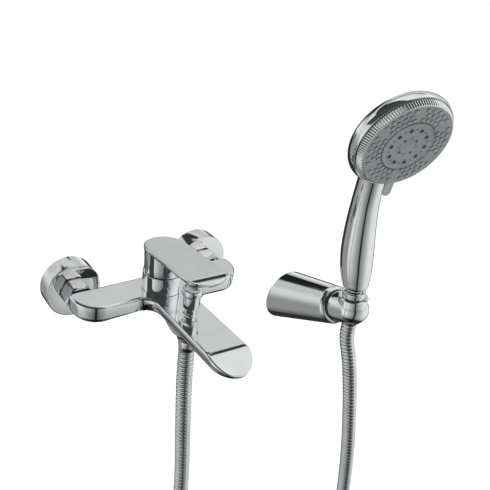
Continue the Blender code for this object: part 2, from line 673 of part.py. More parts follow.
def make_holder():
    """A cylinder with a domed end, a tapered socket down through it and a slot for the hose."""
    base = pivot("swivel_axis", SOCKET)
    along = aim(BRACKET, ARM)
    r, reach, start = HOLDER_RADIUS, ARM_REACH, CONE_LENGTH + 2.7
    profile = [(0, start), (r - 0.6, start), (r, start + 0.8)]
    for degrees in (0, 18, 36, 54, 72):
        angle = math.radians(degrees)
        profile.append((r * math.cos(angle), reach + r * math.sin(angle)))
    profile.append((0, reach + r))
    holder = link("swivel_holder", lathe(profile, along, 32), "chrome", SOCKET, base)
    lip, top = SOCKET_LIP_RADIUS, SOCKET_LIP_TOP
    raised = [(0, 2.0), (lip, 2.0), (lip, top - 0.8), (lip - 0.8, top), (0, top)]
    add(holder, lathe(raised, socket_place(), 28))
    socket = [(0, -24.0), (9.6, -24.0), (12.7, 24.0), (0, 24.0)]
    cut(holder, lathe(socket, socket_place(), 28))
    slot_place = socket_place() @ Matrix.Rotation(SLOT_TURN, 4, "Z")
    cut(holder, box((0.0, -8.2, -24.0), (24.0, 8.2, 24.0), slot_place))
    wall = 2.0
    cut(holder, rod(BRACKET + (start - 2.0) * ARM, BRACKET + (reach - 8.0) * ARM, 2.8, 12))
    cut(holder, rod(BRACKET + (start + wall) * ARM, BRACKET + (reach - 7.0) * ARM, 4.6, 14))
    head = start + wall + GAP
    screw = [(0, start - 10.7), (2.4, start - 10.7), (2.4, head), (4.2, head), (4.2, head + 1.8),
             (0, head + 1.8)]
    link("swivel_screw", lathe(screw, along, 12), "steel", BRACKET, base)


def make_cone_nut():
    base = pivot("lift_out_axis", SOCKET)
    nut = [(11.6, 24.9), (11.9, 23.6), (9.6, -17.0), (8.4, -17.0), (8.4, 11.6), (3.2, 11.6), (3.2, 13.0),
           (5.6, 13.0), (5.6, 24.9)]
    link("hose_cone_nut", lathe(nut, socket_place(), 24), "chrome", SOCKET, base)
    link("cone_washer", lathe(tube(5.3, 3.3, 13.3, 15.4), socket_place(), 14), "rubber", SOCKET, base)


# ---------------------------------------------------------------- hand shower

def handset_place():
    """The hand shower's own frame: +Z up its handle and -Y towards its spray face, turned in its socket."""
    return socket_place() @ Matrix.Translation((0, 0, HANDSET_BASE)) @ Matrix.Rotation(HANDSET_TURN, 4, "Z")


def face_place():
    """Origin at the middle of the spray face, +Z into the head and +Y down the face."""
    centre = Vector((0.0, -FACE_FORWARD, FACE_HEIGHT))
    into_head = Vector((0.0, math.cos(FACE_TILT), math.sin(FACE_TILT)))
    return handset_place() @ aim(centre, into_head)


HANDLE_SECTIONS = (  # height, half-width, half-depth, how far the centre lies behind the socket's axis
    (0.0, 9.6, 9.6, 0.0), (1.2, 12.2, 12.2, 0.2), (4.0, 13.3, 13.3, 0.7), (20.0, 15.4, 15.3, 3.1),
    (41.0, 16.1, 15.9, 5.3), (68.0, 15.0, 14.9, 6.2), (97.0, 13.4, 13.2, 5.0), (123.0, 12.6, 12.4, 1.7),
    (140.0, 13.0, 12.0, -1.4), (154.0, 12.8, 10.4, -5.0), (166.0, 11.0, 7.0, -8.5),
    (176.0, 8.0, 4.0, -11.0),
)


def make_handset():
    base = pivot("handset_axis", handset_place().translation)
    origin = base.location / MM
    loops = []
    for height, wide, deep, behind in HANDLE_SECTIONS:
        angles = [2 * math.pi * k / 20 for k in range(20)]
        loops.append([handset_place() @ Vector((wide * math.cos(a), behind + deep * math.sin(a), height))
                      for a in angles])
    shell = link("handset_shell", loft(loops), "chrome", origin, base)
    rim, mouth, seat = HEAD_RADIUS, KNURL_RADIUS + 0.4, 10.7
    head = [(0, seat), (mouth, seat), (mouth, HEAD_FRONT), (rim + 0.2, HEAD_FRONT), (rim + 1.4, 11.0),
            (rim + 0.6, 16.0), (rim - 3.5, 21.5), (34.0, 27.0), (20.0, 31.0), (0, 32.5)]
    add(shell, lathe(head, face_place(), 40))
    front = [(0, -3), (rim + 3.0, -3), (rim + 3.0, HEAD_FRONT), (mouth, HEAD_FRONT), (mouth, seat),
             (0, seat)]
    cut(shell, lathe(front, face_place(), 40))
    hollow = [(0, 9.0), (rim - 3.5, 9.0), (rim - 3.5, 16.5), (33.0, 22.3), (19.0, 26.7), (0, 28.0)]
    cut(shell, lathe(hollow, face_place(), 32))
    for start, end, radius in (((0, 0, -1), (0, 0, 18), 5.6), ((0, 0.4, 14), (0, 3.6, 124), 5.0),
                               ((0, 4.2, 118), (0, -16, 170), 5.0)):
        cut(shell, rod(handset_place() @ Vector(start), handset_place() @ Vector(end), radius, 14))
    nipple = [(5.2, 9.0), (5.2, -GAP), (7.9, -GAP), (7.9, -3.4), (5.2, -3.4), (5.2, -13.6), (3.2, -13.6),
              (3.2, 9.0)]
    link("handset_nipple", lathe(nipple, handset_place(), 18), "chrome", origin, base)
    basket = tube(4.7, 3.4, 9.6, 14.0)
    link("water_filter", lathe(basket, handset_place(), 12), "white_plastic", origin, base)
    plate_profile = [(0, 13.4), (rim - 3.9, 13.4), (rim - 3.9, 16.0), (0, 16.0)]
    plate = link("spray_distributor", lathe(plate_profile, face_place(), 28), "white_plastic", origin, base)
    centre = face_place().translation
    into = (face_place().to_3x3() @ UP).normalized()
    cut(plate, rod(centre + 12.0 * into, centre + 18.0 * into, 2.4, 12))
    link("distributor_seal", lathe(tube(30.0, 27.5, 3.5, 13.1), face_place(), 20), "rubber", origin, base)


def make_dial():
    """The spray face, which turns in the head to choose a spray."""
    centre = face_place().translation
    base = pivot("dial_axis", centre)
    edge, rim, wall, middle = FACE_RADIUS, KNURL_RADIUS, 40.5, CENTRE_RADIUS
    face = [(2.4, 1.5), (middle, 1.5), (middle, 0.0), (edge - 0.4, 0.0), (edge, 0.5), (rim, 6.0),
            (rim, 10.0), (wall, 10.0), (wall, 3.2), (2.4, 3.2)]
    link("spray_dial", lathe(face, face_place(), 40), "grey_plastic", centre, base)
    disc = [(0, 0.1), (middle - GAP, 0.1), (middle - GAP, 1.2), (0, 1.2)]
    link("spray_centre_disc", lathe(disc, face_place(), 24), "grey_plastic", centre, base)
    screw = [(0, 3.6), (4.0, 3.6), (4.0, 5.4), (2.1, 5.4), (2.1, 18.5), (0, 18.5)]
    link("dial_screw", lathe(screw, face_place(), 12), "steel", centre, base)
    tab_turn = face_place() @ Matrix.Rotation(TAB_ANGLE, 4, "Z")
    link("dial_tab", prism(tab_outline(), tab_turn, 2.8, 5.8), "clear_plastic", centre, base)


def tab_outline():
    """A tongue with a round end that starts just outside the dial's rim."""
    start, end, half = KNURL_RADIUS + GAP, HEAD_RADIUS + TAB_REACH, TAB_HALF_WIDTH
    arc = [(end - half + half * math.cos(math.radians(a)), half * math.sin(math.radians(a)))
           for a in range(-90, 91, 30)]
    return [(start, -half)] + arc + [(start, half)]


clear_scene()
make_inlets()
make_body()
make_cartridge()
make_turret()
make_lever()
make_diverter()
make_aerator()
make_hose_union()
make_hose()
make_bracket()
make_holder()
make_cone_nut()
make_handset()
make_dial()
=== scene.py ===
"""Fine visual model of the wall-mounted bath faucet set, in the CAD model's frame.

Lengths below are in millimetres and every mesh is made in metres. The wall is the plane y = 0, and
the set stands out from it towards -Y.
"""
import json
import math

import bmesh
import bpy
from mathutils import Matrix, Vector


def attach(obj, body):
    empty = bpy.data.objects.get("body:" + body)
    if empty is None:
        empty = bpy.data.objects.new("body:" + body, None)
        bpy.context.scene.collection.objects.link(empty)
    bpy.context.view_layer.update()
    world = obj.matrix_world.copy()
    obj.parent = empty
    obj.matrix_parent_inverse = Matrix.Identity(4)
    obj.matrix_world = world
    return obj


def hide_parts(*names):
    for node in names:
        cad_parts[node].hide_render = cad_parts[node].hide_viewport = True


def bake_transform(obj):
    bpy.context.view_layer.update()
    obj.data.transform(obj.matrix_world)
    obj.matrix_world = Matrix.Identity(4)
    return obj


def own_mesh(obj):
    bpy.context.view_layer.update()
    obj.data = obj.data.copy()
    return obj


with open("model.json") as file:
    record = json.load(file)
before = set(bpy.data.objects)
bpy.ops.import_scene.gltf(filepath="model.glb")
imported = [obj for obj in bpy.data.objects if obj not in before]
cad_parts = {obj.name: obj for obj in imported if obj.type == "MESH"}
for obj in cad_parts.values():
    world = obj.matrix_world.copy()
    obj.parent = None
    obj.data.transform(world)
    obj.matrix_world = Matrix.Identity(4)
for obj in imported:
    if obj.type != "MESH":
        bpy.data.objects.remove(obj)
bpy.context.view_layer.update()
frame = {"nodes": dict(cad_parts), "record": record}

MM = 0.001
UP = Vector((0.0, 0.0, 1.0))
OUT = Vector((0.0, -1.0, 0.0))

# Camera
CAMERA_PLACE = Vector((-283.5, -499.0, 343.1))
CAMERA_RIGHT = Vector((0.9204, -0.3909, 0.0))
CAMERA_BACK = Vector((-0.3501, -0.8243, 0.4449))
CAMERA_LENS = 45.81
CAMERA_SHIFT = (0.3578, -0.0592)

# Mixer
INLET_SPACING = 150.0
UNION_STEP = 6.0
NUT_FLAT = 14.0
NUT_CORNER = 15.75
NUT_FRONT = 36.4
BODY_TOP = 12.0
BODY_BACK = -38.5
BAR_FRONT = -72.5
BAR_HALF_LENGTH = 90.0
BAR_BOTTOM = -8.0
BAR_ARCH = 2.5
BAR_BACK_CORNER = 3.0
BAR_FRONT_CORNER = 26.0
CARTRIDGE = Vector((0.0, -61.5, 0.0))
SPOUT_HALF_WIDTH = 20.0
SPOUT_TIP_CENTRE = -169.5
SPOUT_TIP_SLOPE = 0.28
SPOUT_TIP_CURVE = 0.0125
SPOUT_BOTTOM = -3.0
SPOUT_FILLET = (13.0, 15.0)
DIVERTER = Vector((0.0, -111.5, 0.0))
AERATOR = Vector((0.0, -165.5, 0.0))
LEVER_TOP_BACK = 57.6
LEVER_RISE = 0.075
LEVER_LENGTH = 78.0
LEVER_HALF_WIDTH = 20.0
LEVER_TIP_REACH = 9.5
LEVER_LIFT = math.radians(20.0)
STEM_PIVOT_Z = 18.0
TRIM_TOP = 30.4

# Bracket and hand shower
BRACKET = Vector((223.0, 0.0, -91.6))
ARM_RISE = math.radians(22.0)
ARM = Vector((0.0, -math.cos(ARM_RISE), math.sin(ARM_RISE)))
ARM_REACH = 105.2
SOCKET = BRACKET + ARM_REACH * ARM
SOCKET_LEAN = math.radians(-6.0)
SOCKET_LIP_RADIUS, SOCKET_LIP_TOP = 15.0, 17.0
SLOT_TURN = math.radians(20.0)
CONE_LENGTH = 85.0
CONE_WALL_RADIUS = 30.0
CONE_FRONT_RADIUS = 21.5
CONE_EDGE = 5.0
HOLDER_RADIUS = 17.5
HANDSET_TURN = math.radians(-14.3)
HANDSET_BASE = 29.5
FACE_TILT = math.radians(13.8)
FACE_FORWARD = 39.7
FACE_HEIGHT = 177.4
KNURL_RADIUS = 44.6
HEAD_RADIUS = 46.0
DIAL_TEETH = 120
NOZZLE_GROUPS = 6
NOZZLE_ROWS = ((27.3, 5), (31.9, 4), (36.6, 5))
NOZZLE_PITCH = math.radians(10.6)
NOZZLE_START = math.radians(2.0)
# How far the near-black disc under each nozzle is set off from it, so that it shows as a painted crescent
# shadow.
NOZZLE_SHADOW_SHIFT = (-0.40, -0.68)
JETS = 10
JET_START = math.radians(10.0)
TAB_ANGLE = math.radians(90.0)
TAB_REACH = 13.5
TAB_HALF_WIDTH = 3.8

# Hose
HOSE_DIAMETER = 15.5
HOSE_PITCH = 4.9
HOSE_GROOVE = 1.6


def new_object(name, data):
    obj = bpy.data.objects.new(name, data)
    bpy.context.scene.collection.objects.link(obj)
    return obj


# ---- camera

def make_camera():
    data = bpy.data.cameras.new("camera")
    data.sensor_width = 36.0
    data.lens = CAMERA_LENS
    data.shift_x, data.shift_y = CAMERA_SHIFT
    data.clip_start, data.clip_end = 0.01, 60.0
    cam = new_object("camera", data)
    back = CAMERA_BACK.normalized()
    up = back.cross(CAMERA_RIGHT.normalized()).normalized()
    right = up.cross(back).normalized()
    turn = Matrix((right, up, back)).transposed().to_4x4()
    cam.matrix_world = Matrix.Translation(CAMERA_PLACE * MM) @ turn
    bpy.context.scene.camera = cam


# ---- materials

def node_material(name):
    mat = bpy.data.materials.new(name)
    mat.use_nodes = True
    return mat, mat.node_tree, mat.node_tree.nodes["Principled BSDF"]


def object_noise(tree, scale, detail=2.0):
    place = tree.nodes.new("ShaderNodeTexCoord")
    noise = tree.nodes.new("ShaderNodeTexNoise")
    noise.inputs["Scale"].default_value = scale
    noise.inputs["Detail"].default_value = detail
    tree.links.new(place.outputs["Object"], noise.inputs["Vector"])
    return noise.outputs["Fac"]


def ramp(tree, value, low, high):
    """Carry a 0-1 value to a colour or grey between two ends."""
    node = tree.nodes.new("ShaderNodeValToRGB")
    node.color_ramp.elements[0].position, node.color_ramp.elements[1].position = 0.3, 0.7
    low = low if isinstance(low, tuple) else (low, low, low)
    high = high if isinstance(high, tuple) else (high, high, high)
    node.color_ramp.elements[0].color = (*low, 1.0)
    node.color_ramp.elements[1].color = (*high, 1.0)
    tree.links.new(value, node.inputs["Fac"])
    return node.outputs["Color"]


def bump(tree, shader, height, strength, distance):
    node = tree.nodes.new("ShaderNodeBump")
    node.inputs["Strength"].default_value = strength
    node.inputs["Distance"].default_value = distance * MM
    tree.links.new(height, node.inputs["Height"])
    tree.links.new(node.outputs["Normal"], shader.inputs["Normal"])


def metal(name, dark, light, rough, waviness=0.0):
    """A metal whose polish and tone vary a little from place to place."""
    mat, tree, shader = node_material(name)
    shader.inputs["Metallic"].default_value = 1.0
    broad = object_noise(tree, 38.0)
    fine = object_noise(tree, 900.0, 4.0)
    tree.links.new(ramp(tree, broad, dark, light), shader.inputs["Base Color"])
    tree.links.new(ramp(tree, fine, rough[0], rough[1]), shader.inputs["Roughness"])
    if waviness:
        bump(tree, shader, broad, 0.2, waviness)
    return mat


def plastic(name, dark, light, rough, grain, depth):
    """A plastic, rubber or ceramic with a fine grain in its surface."""
    mat, tree, shader = node_material(name)
    broad = object_noise(tree, 60.0)
    fine = object_noise(tree, grain, 3.0)
    tree.links.new(ramp(tree, broad, dark, light), shader.inputs["Base Color"])
    tree.links.new(ramp(tree, fine, rough[0], rough[1]), shader.inputs["Roughness"])
    bump(tree, shader, fine, 0.35, depth)
    return mat


METALS = {  # slot: name, darkest and lightest tone, roughness, depth of the waves
    "chrome": ("polished_chrome", (0.84, 0.845, 0.85), (0.89, 0.895, 0.90), (0.03, 0.07), 0.02),
    "hose": ("hose_chrome", (0.72, 0.725, 0.735), (0.84, 0.845, 0.85), (0.07, 0.14)),
    "steel": ("brushed_steel", (0.50, 0.50, 0.51), (0.62, 0.62, 0.63), (0.24, 0.38), 0.01),
    "brass": ("machined_brass", (0.66, 0.48, 0.20), (0.78, 0.60, 0.29), (0.24, 0.38), 0.01),
}
PLASTICS = {  # slot: name, darkest and lightest tone, roughness, fineness and depth of the grain
    "rubber": ("black_rubber", (0.018, 0.018, 0.018), (0.035, 0.035, 0.035), (0.55, 0.75), 1500.0, 0.03),
    "ceramic": ("fired_ceramic", (0.84, 0.83, 0.80), (0.91, 0.90, 0.88), (0.15, 0.28), 1800.0, 0.01),
    "white_plastic": ("white_plastic", (0.80, 0.80, 0.78), (0.87, 0.87, 0.85), (0.32, 0.45), 1500.0, 0.02),
    "black_plastic": ("black_plastic", (0.012, 0.012, 0.013), (0.025, 0.025, 0.027), (0.3, 0.45),
                      1500.0, 0.02),
    "grey_plastic": ("grey_plastic", (0.22, 0.225, 0.23), (0.27, 0.275, 0.28), (0.4, 0.52), 1500.0, 0.03),
    "spray_face": ("satin_spray_face", (0.20, 0.205, 0.207), (0.23, 0.235, 0.237), (0.34, 0.46),
                   1300.0, 0.03),
    # Near-black discs under the nozzles: painted crescent shadows of the domes.
    "painted_nozzle_shadow": ("painted_nozzle_shadow", (0.035, 0.036, 0.037), (0.055, 0.056, 0.058), (0.5, 0.6), 1500.0, 0.01),
    "spray_nozzle": ("soft_nozzle_rubber", (0.22, 0.225, 0.228), (0.26, 0.265, 0.268), (0.42, 0.55),
                     2000.0, 0.02),
    # Near-black discs on the face where the jets' holes are: painted shade for the inside of each hole.
    "painted_jet_shade": ("jet_opening", (0.006, 0.006, 0.007), (0.016, 0.016, 0.018), (0.4, 0.6), 1500.0, 0.01),
    "tab_plastic": ("milky_tab_plastic", (0.27, 0.275, 0.28), (0.33, 0.335, 0.34), (0.22, 0.34),
                    1400.0, 0.02),
}


def make_materials():
    made = {slot: metal(*row) for slot, row in METALS.items()}
    made.update({slot: plastic(*row) for slot, row in PLASTICS.items()})
    glossy = made["tab_plastic"].node_tree.nodes["Principled BSDF"]
    glossy.inputs["Coat Weight"].default_value = 0.4
    glossy.inputs["Coat Roughness"].default_value = 0.12
    return made


# ---- mesh helpers

def to_mesh(name, bm):
    """Turn a mesh in world millimetres into mesh data in metres."""
    bmesh.ops.recalc_face_normals(bm, faces=bm.faces)
    bmesh.ops.transform(bm, matrix=Matrix.Scale(MM, 4), verts=bm.verts)
    mesh = bpy.data.meshes.new(name)
    bm.to_mesh(mesh)
    bm.free()
    return mesh


def link(name, bm, material, body, node=None, angle=35.0, merge=True):
    """Turn a mesh in world millimetres into a piece that rides on a body and stands for a CAD node."""
    if merge:
        bmesh.ops.remove_doubles(bm, verts=bm.verts, dist=0.0005)
    mesh = to_mesh(name, bm)
    mesh.shade_smooth()
    mesh.set_sharp_from_angle(angle=math.radians(angle))
    mesh.materials.append(MATERIALS[material])
    obj = new_object(name, mesh)
    if body:
        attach(obj, body)
    if node:
        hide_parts(node)
    return obj


def arc(start, end, steps):
    """Angles at even steps between two angles in degrees, with both ends."""
    return [math.radians(start + (end - start) * k / steps) for k in range(steps + 1)]


def aim(origin, direction):
    turn = UP.rotation_difference(Vector(direction)).to_matrix().to_4x4()
    return Matrix.Translation(Vector(origin)) @ turn


def bridge(bm, low, high):
    """Join two loops of vertices with faces. A loop may be a single point."""
    count = max(len(low), len(high))
    for k in range(count):
        after = (k + 1) % count
        corners = [low[k % len(low)], low[after % len(low)], high[after % len(high)], high[k % len(high)]]
        unique = list(dict.fromkeys(corners))
        if len(unique) > 2:
            bm.faces.new(unique)


def bridge_rows(bm, rows, ends=False, round_again=False):
    """Join each row of vertices to the next, and close the ends or join the last row to the first."""
    for low, high in zip(rows, rows[1:] + (rows[:1] if round_again else [])):
        bridge(bm, low, high)
    if ends:
        bm.faces.new(list(reversed(rows[0])))
        bm.faces.new(rows[-1])


def ring(bm, radius, height, segments, place, shape=None):
    """A loop of vertices about local Z, or one vertex where the radius is zero."""
    if radius < 1e-6:
        return [bm.verts.new(place @ Vector((0.0, 0.0, height)))]
    verts = []
    for k in range(segments):
        angle = 2 * math.pi * k / segments
        r = radius * shape(angle) if shape else radius
        verts.append(bm.verts.new(place @ Vector((r * math.cos(angle), r * math.sin(angle), height))))
    return verts


def lathe(profile, place, segments=96, closed=True, bm=None):
    """Revolve (radius, height) points about local Z. Off-axis ends close into a ring when asked."""
    bm = bm or bmesh.new()
    rings = [ring(bm, radius, height, segments, place) for radius, height in profile]
    bridge_rows(bm, rings, round_again=closed and len(rings[0]) > 1)
    return bm


def rounded(points):
    """Round the corners of a closed profile: each point is (radius, height, corner radius)."""
    result = []
    count, steps = len(points), 5
    for k, point in enumerate(points):
        here = Vector(point[:2])
        size = point[2] if len(point) > 2 else 0.0
        if size <= 0:
            result.append(tuple(here))
            continue
        before, after = Vector(points[k - 1][:2]), Vector(points[(k + 1) % count][:2])
        to_before, to_after = before - here, after - here
        reach = min(size, 0.49 * to_before.length, 0.49 * to_after.length)
        start, end = here + reach * to_before.normalized(), here + reach * to_after.normalized()
        for j in range(steps + 1):
            t = j / steps
            result.append(tuple((1 - t) ** 2 * start + 2 * t * (1 - t) * here + t ** 2 * end))
    return result


def turned(points, place, segments=96):
    return lathe(rounded(points), place, segments)


def catmull_rom(a, b, c, d, t):
    return 0.5 * (2 * b + (c - a) * t + (2 * a - 5 * b + 4 * c - d) * t ** 2
                  + (3 * b - a - 3 * c + d) * t ** 3)


def smooth_values(rows, per_span, first=None):
    """A Catmull-Rom curve through rows of numbers of equal length."""
    rows = [tuple(row) for row in rows]
    first = first or tuple(2 * a - b for a, b in zip(rows[0], rows[1]))
    last = tuple(2 * a - b for a, b in zip(rows[-1], rows[-2]))
    knots = [first] + rows + [last]
    result = []
    for p0, p1, p2, p3 in zip(knots, knots[1:], knots[2:], knots[3:]):
        for k in range(per_span):
            result.append(tuple(catmull_rom(*row, k / per_span) for row in zip(p0, p1, p2, p3)))
    result.append(rows[-1])
    return result


def boolean(obj, bm, operation="DIFFERENCE"):
    """Apply one boolean with a temporary tool made from bm, and remove the tool."""
    mesh = to_mesh("tool", bm)
    tool = new_object("tool", mesh)
    modifier = obj.modifiers.new("cut", "BOOLEAN")
    modifier.object, modifier.operation, modifier.solver = tool, operation, "EXACT"
    bpy.context.view_layer.update()
    graph = bpy.context.evaluated_depsgraph_get()
    result = bpy.data.meshes.new_from_object(obj.evaluated_get(graph))
    old = obj.data
    obj.modifiers.clear()
    obj.data = result
    result.name = obj.name
    if not result.materials:
        result.materials.append(old.materials[0])
    bpy.data.meshes.remove(old)
    bpy.data.objects.remove(tool, do_unlink=True)
    bpy.data.meshes.remove(mesh)
    result.shade_smooth()
    result.set_sharp_from_angle(angle=math.radians(32))


# ---- hose

def socket_place():
    return Matrix.Translation(SOCKET) @ Matrix.Rotation(SOCKET_LEAN, 4, -ARM)


def hose_points():
    """The hose's route: down from the outlet, round one hanging bend and up into the nut."""
    left_leg = ((0.0, -111.5, -27.5), (1.0, -111.5, -66.0), (5.0, -111.5, -125.0),
                (10.5, -111.5, -200.0), (13.0, -111.5, -285.0), (15.0, -112.0, -380.0))
    bend = ((26.0, -113.0, -478.0), (66.0, -115.0, -562.0), (140.0, -117.0, -600.0),
            (214.0, -119.0, -562.0), (252.0, -121.0, -478.0))
    right_leg = ((262.0, -121.0, -380.0), (256.0, -117.0, -285.0), (246.0, -110.0, -200.0),
                 (236.0, -103.0, -135.0))
    into_nut = tuple(tuple(socket_place() @ Vector((0, 0, height))) for height in (-42.0, -18.0, 11.2))
    return left_leg + bend + right_leg + into_nut


def fine_route():
    """The route as a smooth curve that starts straight down."""
    points = hose_points()
    above = tuple(Vector(points[0]) + 40.0 * UP)
    return [Vector(p) for p in smooth_values(points, 40, above)]


def evenly(points, step):
    """Read a polyline again at even steps, and give its length too."""
    lengths = [0.0]
    for a, b in zip(points, points[1:]):
        lengths.append(lengths[-1] + (b - a).length)
    count = round(lengths[-1] / step)
    even, index = [], 0
    for k in range(count + 1):
        target = lengths[-1] * k / count
        while index < len(lengths) - 2 and lengths[index + 1] < target:
            index += 1
        span = lengths[index + 1] - lengths[index]
        even.append(points[index].lerp(points[index + 1], (target - lengths[index]) / span))
    return even, lengths[-1]


def make_hose():
    """A double-wound metal hose: one continuous round ridge winds along it."""
    route, length = evenly(fine_route(), HOSE_PITCH / 10)
    around = 22
    bm = bmesh.new()
    rows = []
    side = Vector((1.0, 0.0, 0.0))
    travelled = 0.0
    for k, centre in enumerate(route):
        ahead = (route[min(k + 1, len(route) - 1)] - route[max(k - 1, 0)]).normalized()
        side = (side - side.dot(ahead) * ahead).normalized()
        other = ahead.cross(side)
        if k:
            travelled += (centre - route[k - 1]).length
        row = []
        for j in range(around):
            angle = 2 * math.pi * j / around
            phase = (travelled / HOSE_PITCH - j / around) % 1.0
            radius = HOSE_DIAMETER / 2 - HOSE_GROOVE * hose_groove(phase)
            outward = math.cos(angle) * side + math.sin(angle) * other
            row.append(bm.verts.new(centre + radius * outward))
        rows.append(row)
    bridge_rows(bm, rows, ends=True)
    hose = link("shower_hose_braid", bm, "hose", None, "shower_hose", angle=80.0, merge=False)
    path, _ = evenly(fine_route(), 32.0)
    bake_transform(hose)


def hose_groove(phase):
    """The groove's depth, 0 to 1, across one turn of the winding: a broad ridge and a narrow valley."""
    from_ridge = abs(phase - 0.5) * 2.0
    return from_ridge ** 2.6


# ---- water inlets

def make_inlets():
    for side, label in ((-1, "left"), (1, "right")):
        along = aim((side * INLET_SPACING / 2, 0.0, 0.0), OUT)
        cup = [(29.0, 0.05), (29.0, 19.0, 1.1), (12.9, 19.0, 0.4), (12.9, 17.6), (27.6, 17.6, 0.4),
               (27.6, 0.05)]
        link(f"escutcheon_cup_{label}", turned(cup, along, 128), "chrome", "fixed", f"escutcheon_{label}")
        make_union(label, along)
        make_union_nut(label, along)


def make_union(label, along):
    """A threaded tail whose wall end is stepped down."""
    thread = [(10.2, -13.8), (10.2, 3.0), (12.6, 3.2)]
    for k in range(9):
        base = 3.6 + k * 2.4
        thread += [(12.6, base), (11.7, base + 0.9), (12.6, base + 1.8)]
    thread += [(12.6, 26.4), (11.9, 27.5), (7.4, 27.5), (7.4, 8.0), (6.0, 8.0), (6.0, -13.8)]
    bm = bmesh.new()
    rings = []
    for radius, height in thread:
        drop = UNION_STEP if height < 3.1 and radius < 12.0 else 0.0
        rings.append(ring(bm, radius, height, 64, Matrix.Translation((0, 0, -drop)) @ along))
    bridge_rows(bm, rings, round_again=True)
    link(f"s_union_thread_{label}", bm, "brass", "fixed", f"s_union_{label}")


def make_union_nut(label, along):
    """A hexagon nut with turned-off front corners, slightly softened flats and a bore with a front lip."""
    bm = bmesh.new()

    def hexagon(angle):
        from_corner = (angle + math.pi / 6) % (math.pi / 3) - math.pi / 6
        return min(NUT_FLAT / math.cos(abs(abs(from_corner) - math.pi / 6)), NUT_CORNER)

    def hexed(radius, height):
        return ring(bm, 1.0, height, 144, along, lambda angle: min(hexagon(angle), radius))

    rings = [hexed(12.9, 20.6), hexed(15.1, 20.6), hexed(16.4, 21.3)]
    for j in range(9):
        share = j / 8
        rings.append(hexed(16.4 - 2.5 * share ** 1.5, NUT_FRONT - 3.0 + 3.0 * share))
    rings += [hexed(13.0, NUT_FRONT), hexed(7.5, NUT_FRONT), hexed(7.3, NUT_FRONT - 0.3), hexed(7.3, 32.8),
              hexed(12.9, 32.8)]
    bridge_rows(bm, rings, round_again=True)
    link(f"union_nut_hex_{label}", bm, "chrome", "fixed", f"union_nut_{label}", angle=22.0)


# ---- mixer body

def side_levels():
    """Pairs of (inset, height) for the bar and (width share, depth share) for the spout, top down."""
    bar, spout = [], []
    for a in arc(0, 90, 8):
        bar.append((2.6 * (1 - math.sin(a)), BODY_TOP - 3.2 * (1 - math.cos(a))))
        spout.append((1.0 - 0.085 * (1 - math.sin(a)), 0.2 * (1 - math.cos(a))))
    bar += [(0.03, 6.0), (0.15, 3.0), (0.35, 0.4), (0.5, -1.5)]
    spout += [(0.99, 0.27), (0.97, 0.35), (0.94, 0.43), (0.9, 0.52)]
    for b in arc(10, 90, 8):
        bar.append((0.5 + 7.0 * (1 - math.cos(b)), -1.5 - 6.5 * math.sin(b)))
        spout.append((0.9 - 0.3 * (1 - math.cos(b)), 0.52 + 0.48 * math.sin(b)))
    return list(zip(bar, spout))


def arch(x, height):
    share = min(1.0, max(0.0, (2.0 - height) / (2.0 - BAR_BOTTOM)))
    return share * BAR_ARCH * max(0.0, 1.0 - (x / 75.0) ** 2)


def right_half(bar, spout, extra=0.0):
    """The right half of one level, from the middle of the back round to the middle of the spout's tip."""
    inset, z_bar = bar
    share, depth = spout
    inset += extra
    half = BAR_HALF_LENGTH - inset
    front, back = BAR_FRONT + inset, BODY_BACK - inset
    points = [(x, back, z_bar) for x in (0.0, 15.0, 30.0, 45.0, 60.0, 75.0)]
    small, large = BAR_BACK_CORNER, BAR_FRONT_CORNER - inset
    for a in arc(90, 0, 8):
        points.append((half - small + small * math.cos(a), back - small + small * math.sin(a), z_bar))
    for a in arc(0, -90, 26):
        points.append((half - large + large * math.cos(a), front + large + large * math.sin(a), z_bar))
    width = share * SPOUT_HALF_WIDTH - extra
    reach_x, reach_y = SPOUT_FILLET
    start_x = width + reach_x
    edge = half - large
    points += [(edge + (start_x - edge) * t, front, z_bar) for t in (0.2, 0.4, 0.6, 0.8)]
    end_y = BAR_FRONT - reach_y
    z_spout = BODY_TOP - depth * (BODY_TOP - SPOUT_BOTTOM)
    for k in range(17):
        a = math.radians(90.0 * k / 16)
        blend = (k / 16) ** 2 * (3 - 2 * k / 16)
        points.append((width + reach_x * (1 - math.sin(a)),
                       front + (end_y - front) * (1 - math.cos(a)),
                       z_bar + (z_spout - z_bar) * blend))
    for k in range(1, 12):
        points.append((width, end_y + (SPOUT_TIP_CENTRE - end_y) * k / 12, z_spout))
    for a in arc(0, 90, 24):
        beyond = math.sin(a)
        past = SPOUT_HALF_WIDTH * beyond
        top = BODY_TOP - SPOUT_TIP_SLOPE * past - SPOUT_TIP_CURVE * past ** 2
        low = SPOUT_BOTTOM + beyond
        pull = (1 - share) * (1.0 - 0.35 * beyond)
        reach = SPOUT_HALF_WIDTH * (1 - pull * (0.55 if depth < 0.25 else 0.45) * beyond) - extra
        z = top - depth * (top - low)
        points.append((width * math.cos(a), SPOUT_TIP_CENTRE - reach * beyond, z))
    return [(x, y, z + (arch(x, z) if y > BAR_FRONT + 12.0 or z < SPOUT_BOTTOM else 0.0))
            for x, y, z in points]


def mirrored_row(bm, half):
    """A whole loop from its right half, whose first and last points lie on the middle line."""
    right = [bm.verts.new(p) for p in half]
    left = [bm.verts.new((-x, y, z)) for x, y, z in half[1:-1]]
    return right + list(reversed(left))


def halves(row):
    """The right and left halves of a mirrored loop, both from its first point to its middle one."""
    half = len(row) // 2
    return row[:half + 1], [row[0]] + list(reversed(row[half + 1:])) + [row[half]]


